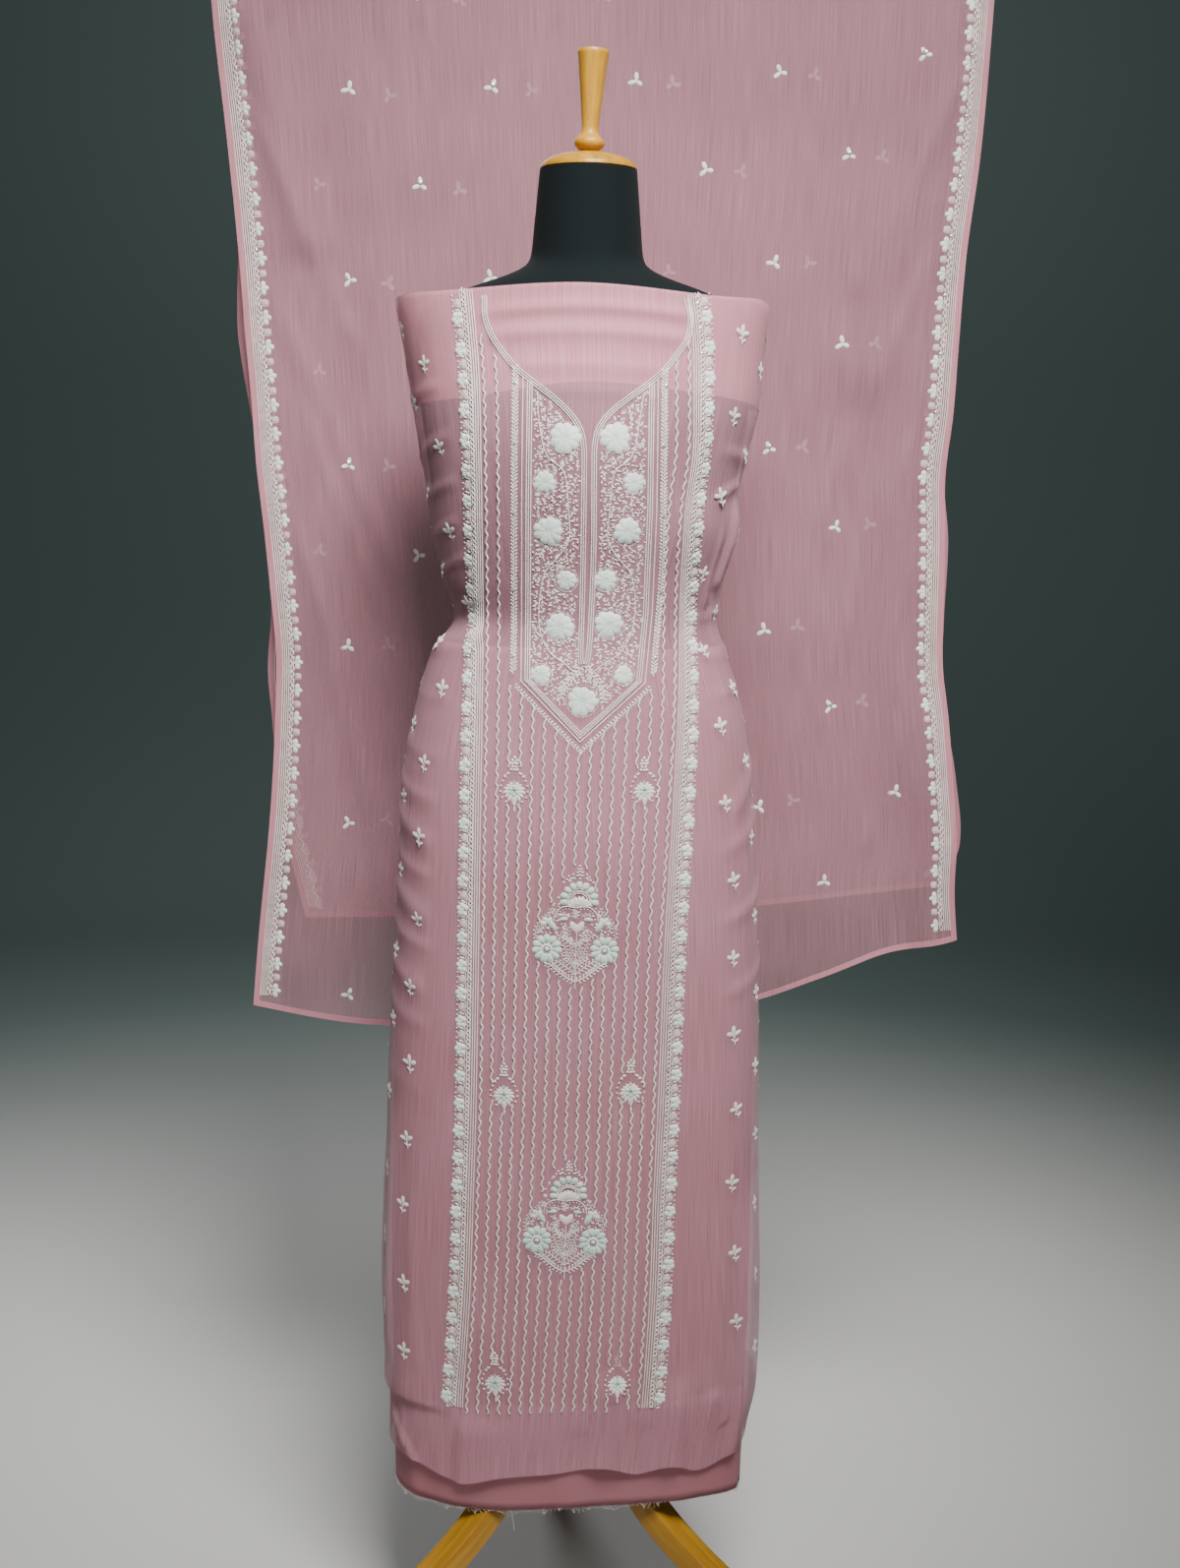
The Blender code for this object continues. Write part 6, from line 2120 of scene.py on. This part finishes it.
@dataclass
class HemFray:
    """Loose threads that hang from the raw hem of the bottom cloth, a few of them long."""

    cloth: WornCloth
    count: int = 420
    shortest: float = 0.0022
    spread: float = 0.0045
    long_thread: float = 0.016

    def build(self, floss: Material, silver: Material) -> list[str]:
        """Hang the threads and return their pieces' names."""
        work, patch = NeedleWork("hem", "bottom_fabric"), Patch(self.cloth.place, step=0.1)
        run = np.linspace(0, 1, 4)
        for index in range(self.count):
            angle = -180 + 360 * (index + 0.5 * math.sin(7.3 * index)) / self.count
            length = self.shortest + self.spread * abs(math.sin(2.9 * index)) ** 3
            length += self.long_thread if index % 83 == 24 else 0.0
            low = float(self.cloth.edge(self.cloth.lower, angle))
            path = np.stack([angle + 0.9 * math.sin(5.1 * index) * run**2, low + 0.0008 - length * run], -1)
            work.thread(patch, path, Gauge.FRAY)
        return work.finish(floss, silver)


@dataclass
class DupattaTrim:
    """The dupatta's sprigs and its embroidered side borders, which lie inside its bound edges."""

    dupatta: Dupatta
    column_step: float = 0.1555
    row_step: float = 0.201
    flower_repeat: float = 0.0316

    def edge_patch(self, layer: HangingLayer, side: int, facing: int) -> Patch:
        """Patch measured in from the left (-1) or right (1) edge of a layer that faces -Y (1) or +Y (-1)."""
        def place(distance: np.ndarray, z: np.ndarray) -> np.ndarray:
            """Points at distances in from the edge."""
            return layer.place(layer.share_at(-side * np.maximum(distance, 1e-5), z), z)
        return Patch(place, outward=-side * facing)

    def borders(self, work: NeedleWork, layer: HangingLayer, facing: int) -> None:
        """Four cords, a crossed vine and half flowers down both edges of a layer, inside its binding."""
        for side in (-1, 1):
            patch = self.edge_patch(layer, side, facing)
            low = float(layer.hem_at(0.0 if side < 0 else 1.0)) + 0.012
            z = np.arange(low, RAIL_Z - 0.01, 0.006)
            for distance in (0.0074, 0.0097, 0.012, 0.0143):
                work.thread(patch, upright(distance, z), Gauge.CORD)
            z = np.arange(low, RAIL_Z - 0.01, 0.003)
            turn, pitch = z * math.tau / 0.0158, self.flower_repeat
            for phase in (0.0, math.pi):
                work.thread(patch, upright(0.018 + 0.002 * np.sin(turn + phase), z), Gauge.VINE)
            flowers = np.arange(low + 0.006, RAIL_Z - 0.02, pitch)
            work.sew(patch, Motif.HALF_BLOSSOM, [(0.0228, height, side * 90, 0.98) for height in flowers])
            work.sew(patch, Motif.BUD, [(0.0246, height + pitch / 2, side * 90, 0.95) for height in flowers])
            work.sew(patch, Motif.LEAF, [
                (0.018, height + 0.1 * index * pitch, -40 if index % 2 else 40, 0.75)
                for height in flowers for index in range(10)
            ])
            work.sew(patch, Motif.SEQUIN, [(0.0196, height + 0.009, 0, 1.0) for height in flowers[::2]])

    def sprigs(self, work: NeedleWork, layer: HangingLayer, facing: int, shift: float) -> None:
        """Trefoils in half-drop rows that rise to the right over a layer."""
        patch = Patch(lambda share, z: layer.place(share, z), outward=facing, step=0.0008)
        for row in range(13):
            for column in range(-1, 6):
                x = -0.262 + self.column_step * (column + 0.5 * (row % 2)) + shift
                z = 1.846 - row * self.row_step / 2 + 0.095 * max(0.0, x + 0.1)
                z += 0.004 * math.sin(3.1 * row + 1.7 * column)
                left, right = layer.edges_at(z)
                share = (x - left) / (right - left)
                if not 0.07 < share < 0.93 or not layer.hem_at(share) + 0.03 < z < RAIL_Z - 0.02:
                    continue
                work.sew(patch, Motif.TREFOIL, [(share, z, 25 * math.sin(2 * row + column), 1.0)])
                if (row + column) % 3 == 0:
                    work.sew(patch, Motif.SEQUIN, [(share, z + 0.002, 0, 1.5)])

    def build(self, floss: Material, silver: Material) -> list[str]:
        """Sew both layers and return their pieces' names."""
        work = NeedleWork("dupatta")
        front, back = self.dupatta.layers()
        for layer, facing, shift in ((front, 1, 0.0), (back, -1, 0.04)):
            self.borders(work, layer, facing)
            self.sprigs(work, layer, facing, shift)
        return work.finish(floss, silver)


# ---------------------------------------------------------------- studio
@dataclass(frozen=True)
class SoftLight:
    """A square light: where it hangs and aims, its side, power and colour, and its spread in degrees."""

    name: str
    place: tuple[float, float, float]
    target: tuple[float, float, float]
    size: float
    power: float
    colour: tuple[float, float, float]
    spread: float

    def hang(self) -> None:
        """Put the light in the scene, not itself seen."""
        data = bpy.data.lights.new(self.name, "AREA")
        data.size, data.energy, data.color = self.size, self.power, self.colour
        data.spread = math.radians(self.spread)
        lamp = link(self.name, data)
        lamp.location = self.place
        aim = Vector(self.target) - Vector(self.place)
        lamp.rotation_euler = aim.to_track_quat("-Z", "Y").to_euler()
        lamp.visible_camera = False


SOFT_LIGHTS = rows_of(
    SoftLight,
    ("key_above_front", (0.38, -1.5, 2.9), (0, -0.1, 1.3), 1.1, 21, (1.0, 0.98, 0.97), 56),
    ("fill_front", (-0.7, -3.2, 2.0), (0, 0, 1.25), 2.2, 7, (0.96, 0.98, 1.0), 100),
    ("fill_back", (-1.2, 3.4, 2.4), (0, 0.1, 1.1), 2.4, 24, (0.97, 0.98, 1.0), 100),
    ("wall_wash", (0, 2.2, 3.2), (0, 5.2, 1.6), 2.6, 28, (0.96, 1.0, 0.98), 140),
)


@dataclass
class Studio:
    """A pale floor that sweeps up into a muted wall, soft lights and the camera. The floor darkens into the
    wall's colour away from the middle, a painted fall-off of light.
    """

    floor_radius: float = 3.6
    bend: float = 1.6
    wall_height: float = 6.0
    lens: float = 46.98
    distance: float = 2.08
    eye_height: float = 1.22
    look_down: float = 8.2
    roll: float = 1.0
    floor_colour: tuple[float, float, float] = (0.56, 0.56, 0.54)
    wall_colour: tuple[float, float, float] = (0.12, 0.165, 0.155)

    def sweep(self) -> None:
        """The floor and wall in one turned sheet, with faint unevenness. Its colour fades from the floor's to
        the wall's between 0.9 and 3 m out, a painted fall-off of light.
        """
        curve = [
            (self.floor_radius + self.bend * math.cos(turn), self.bend * (1 + math.sin(turn)))
            for turn in np.radians(np.linspace(-90, 0, 14))
        ]
        top = (self.floor_radius + self.bend, self.wall_height)
        profile = [(0.0, 0.0), (1.2, 0.0), (2.4, 0.0), *curve, top]
        points = revolve(*np.array(profile).T, np.linspace(0, math.tau, 97))[::-1]
        mesh = sheet_mesh("studio_sweep", points, points[..., :2], closed=True)
        material, tree, shader = new_material("studio_paper", Roughness=0.95)
        place = signal(tree, "ShaderNodeTexCoord", None, "Object")
        away = signal(tree, "ShaderNodeVectorMath", {0: place}, "Value", operation="LENGTH")
        # painted fall-off of light: the pale floor darkens to the wall colour from 0.9 m to 3 m out
        rise = signal(tree, "ShaderNodeMapRange", {"Value": away, "From Min": 0.9, "From Max": 3.0},
                      interpolation_type="SMOOTHSTEP")
        paper = noise(place, 3.0, 1.0) * 0.04
        link_all(tree, shader, {"Base Color": blend(rise + paper, self.floor_colour, self.wall_colour)})
        mesh.materials.append(material)
        link("studio_sweep", mesh)

    def camera(self) -> None:
        """The camera in front of the suit, at chest height and looking a little down."""
        data = bpy.data.cameras.new("camera")
        data.lens, data.sensor_width, data.sensor_fit, data.clip_end = self.lens, 36.0, "AUTO", 50
        camera = link("camera", data)
        pitch, roll = math.radians(90 - self.look_down), math.radians(self.roll)
        turn = Matrix.Rotation(pitch, 4, "X") @ Matrix.Rotation(roll, 4, "Z")
        camera.matrix_world = Matrix.Translation((0.012, FORM_Y - self.distance, self.eye_height)) @ turn
        bpy.context.scene.camera = camera

    def build(self) -> None:
        """Set up floor, wall, lights, camera and the dim world light."""
        self.camera()
        self.sweep()
        for light in SOFT_LIGHTS:
            light.hang()
        world = bpy.data.worlds.new("soft_room")
        world.use_nodes = True
        glow = world.node_tree.nodes["Background"].inputs
        glow["Color"].default_value, glow["Strength"].default_value = (0.8, 0.85, 0.9, 1), 0.09
        bpy.context.scene.world = world
        LOG.info("studio ready")


def main() -> None:
    """Build the studio, the form, the cloths and their embroidery."""
    logging.basicConfig(level=logging.INFO, format="%(name)s: %(message)s")
    Studio().build()
    for make_group in (weave_group, grain_group, thread_tree, motif_tree):
        make_group()
    DressForm().build()
    bottom, kameez = BottomCloth(), KameezCloth()
    tube = bottom.build()
    outer = kameez.build()
    HangingRail().build()
    dupatta = Dupatta()
    veil = dupatta.build()
    floss, silver = FLOSS.material(), SILVER.material()
    fray = HemFray(bottom.surface).build(floss, silver)
    sewn = FrontPanel(kameez.surface).build(floss, silver)
    sewn += ScatteredSprigs(kameez.surface).build(floss, silver)
    veil_sewn = DupattaTrim(dupatta).build(floss, silver)


if __name__ == "__main__":
    main()
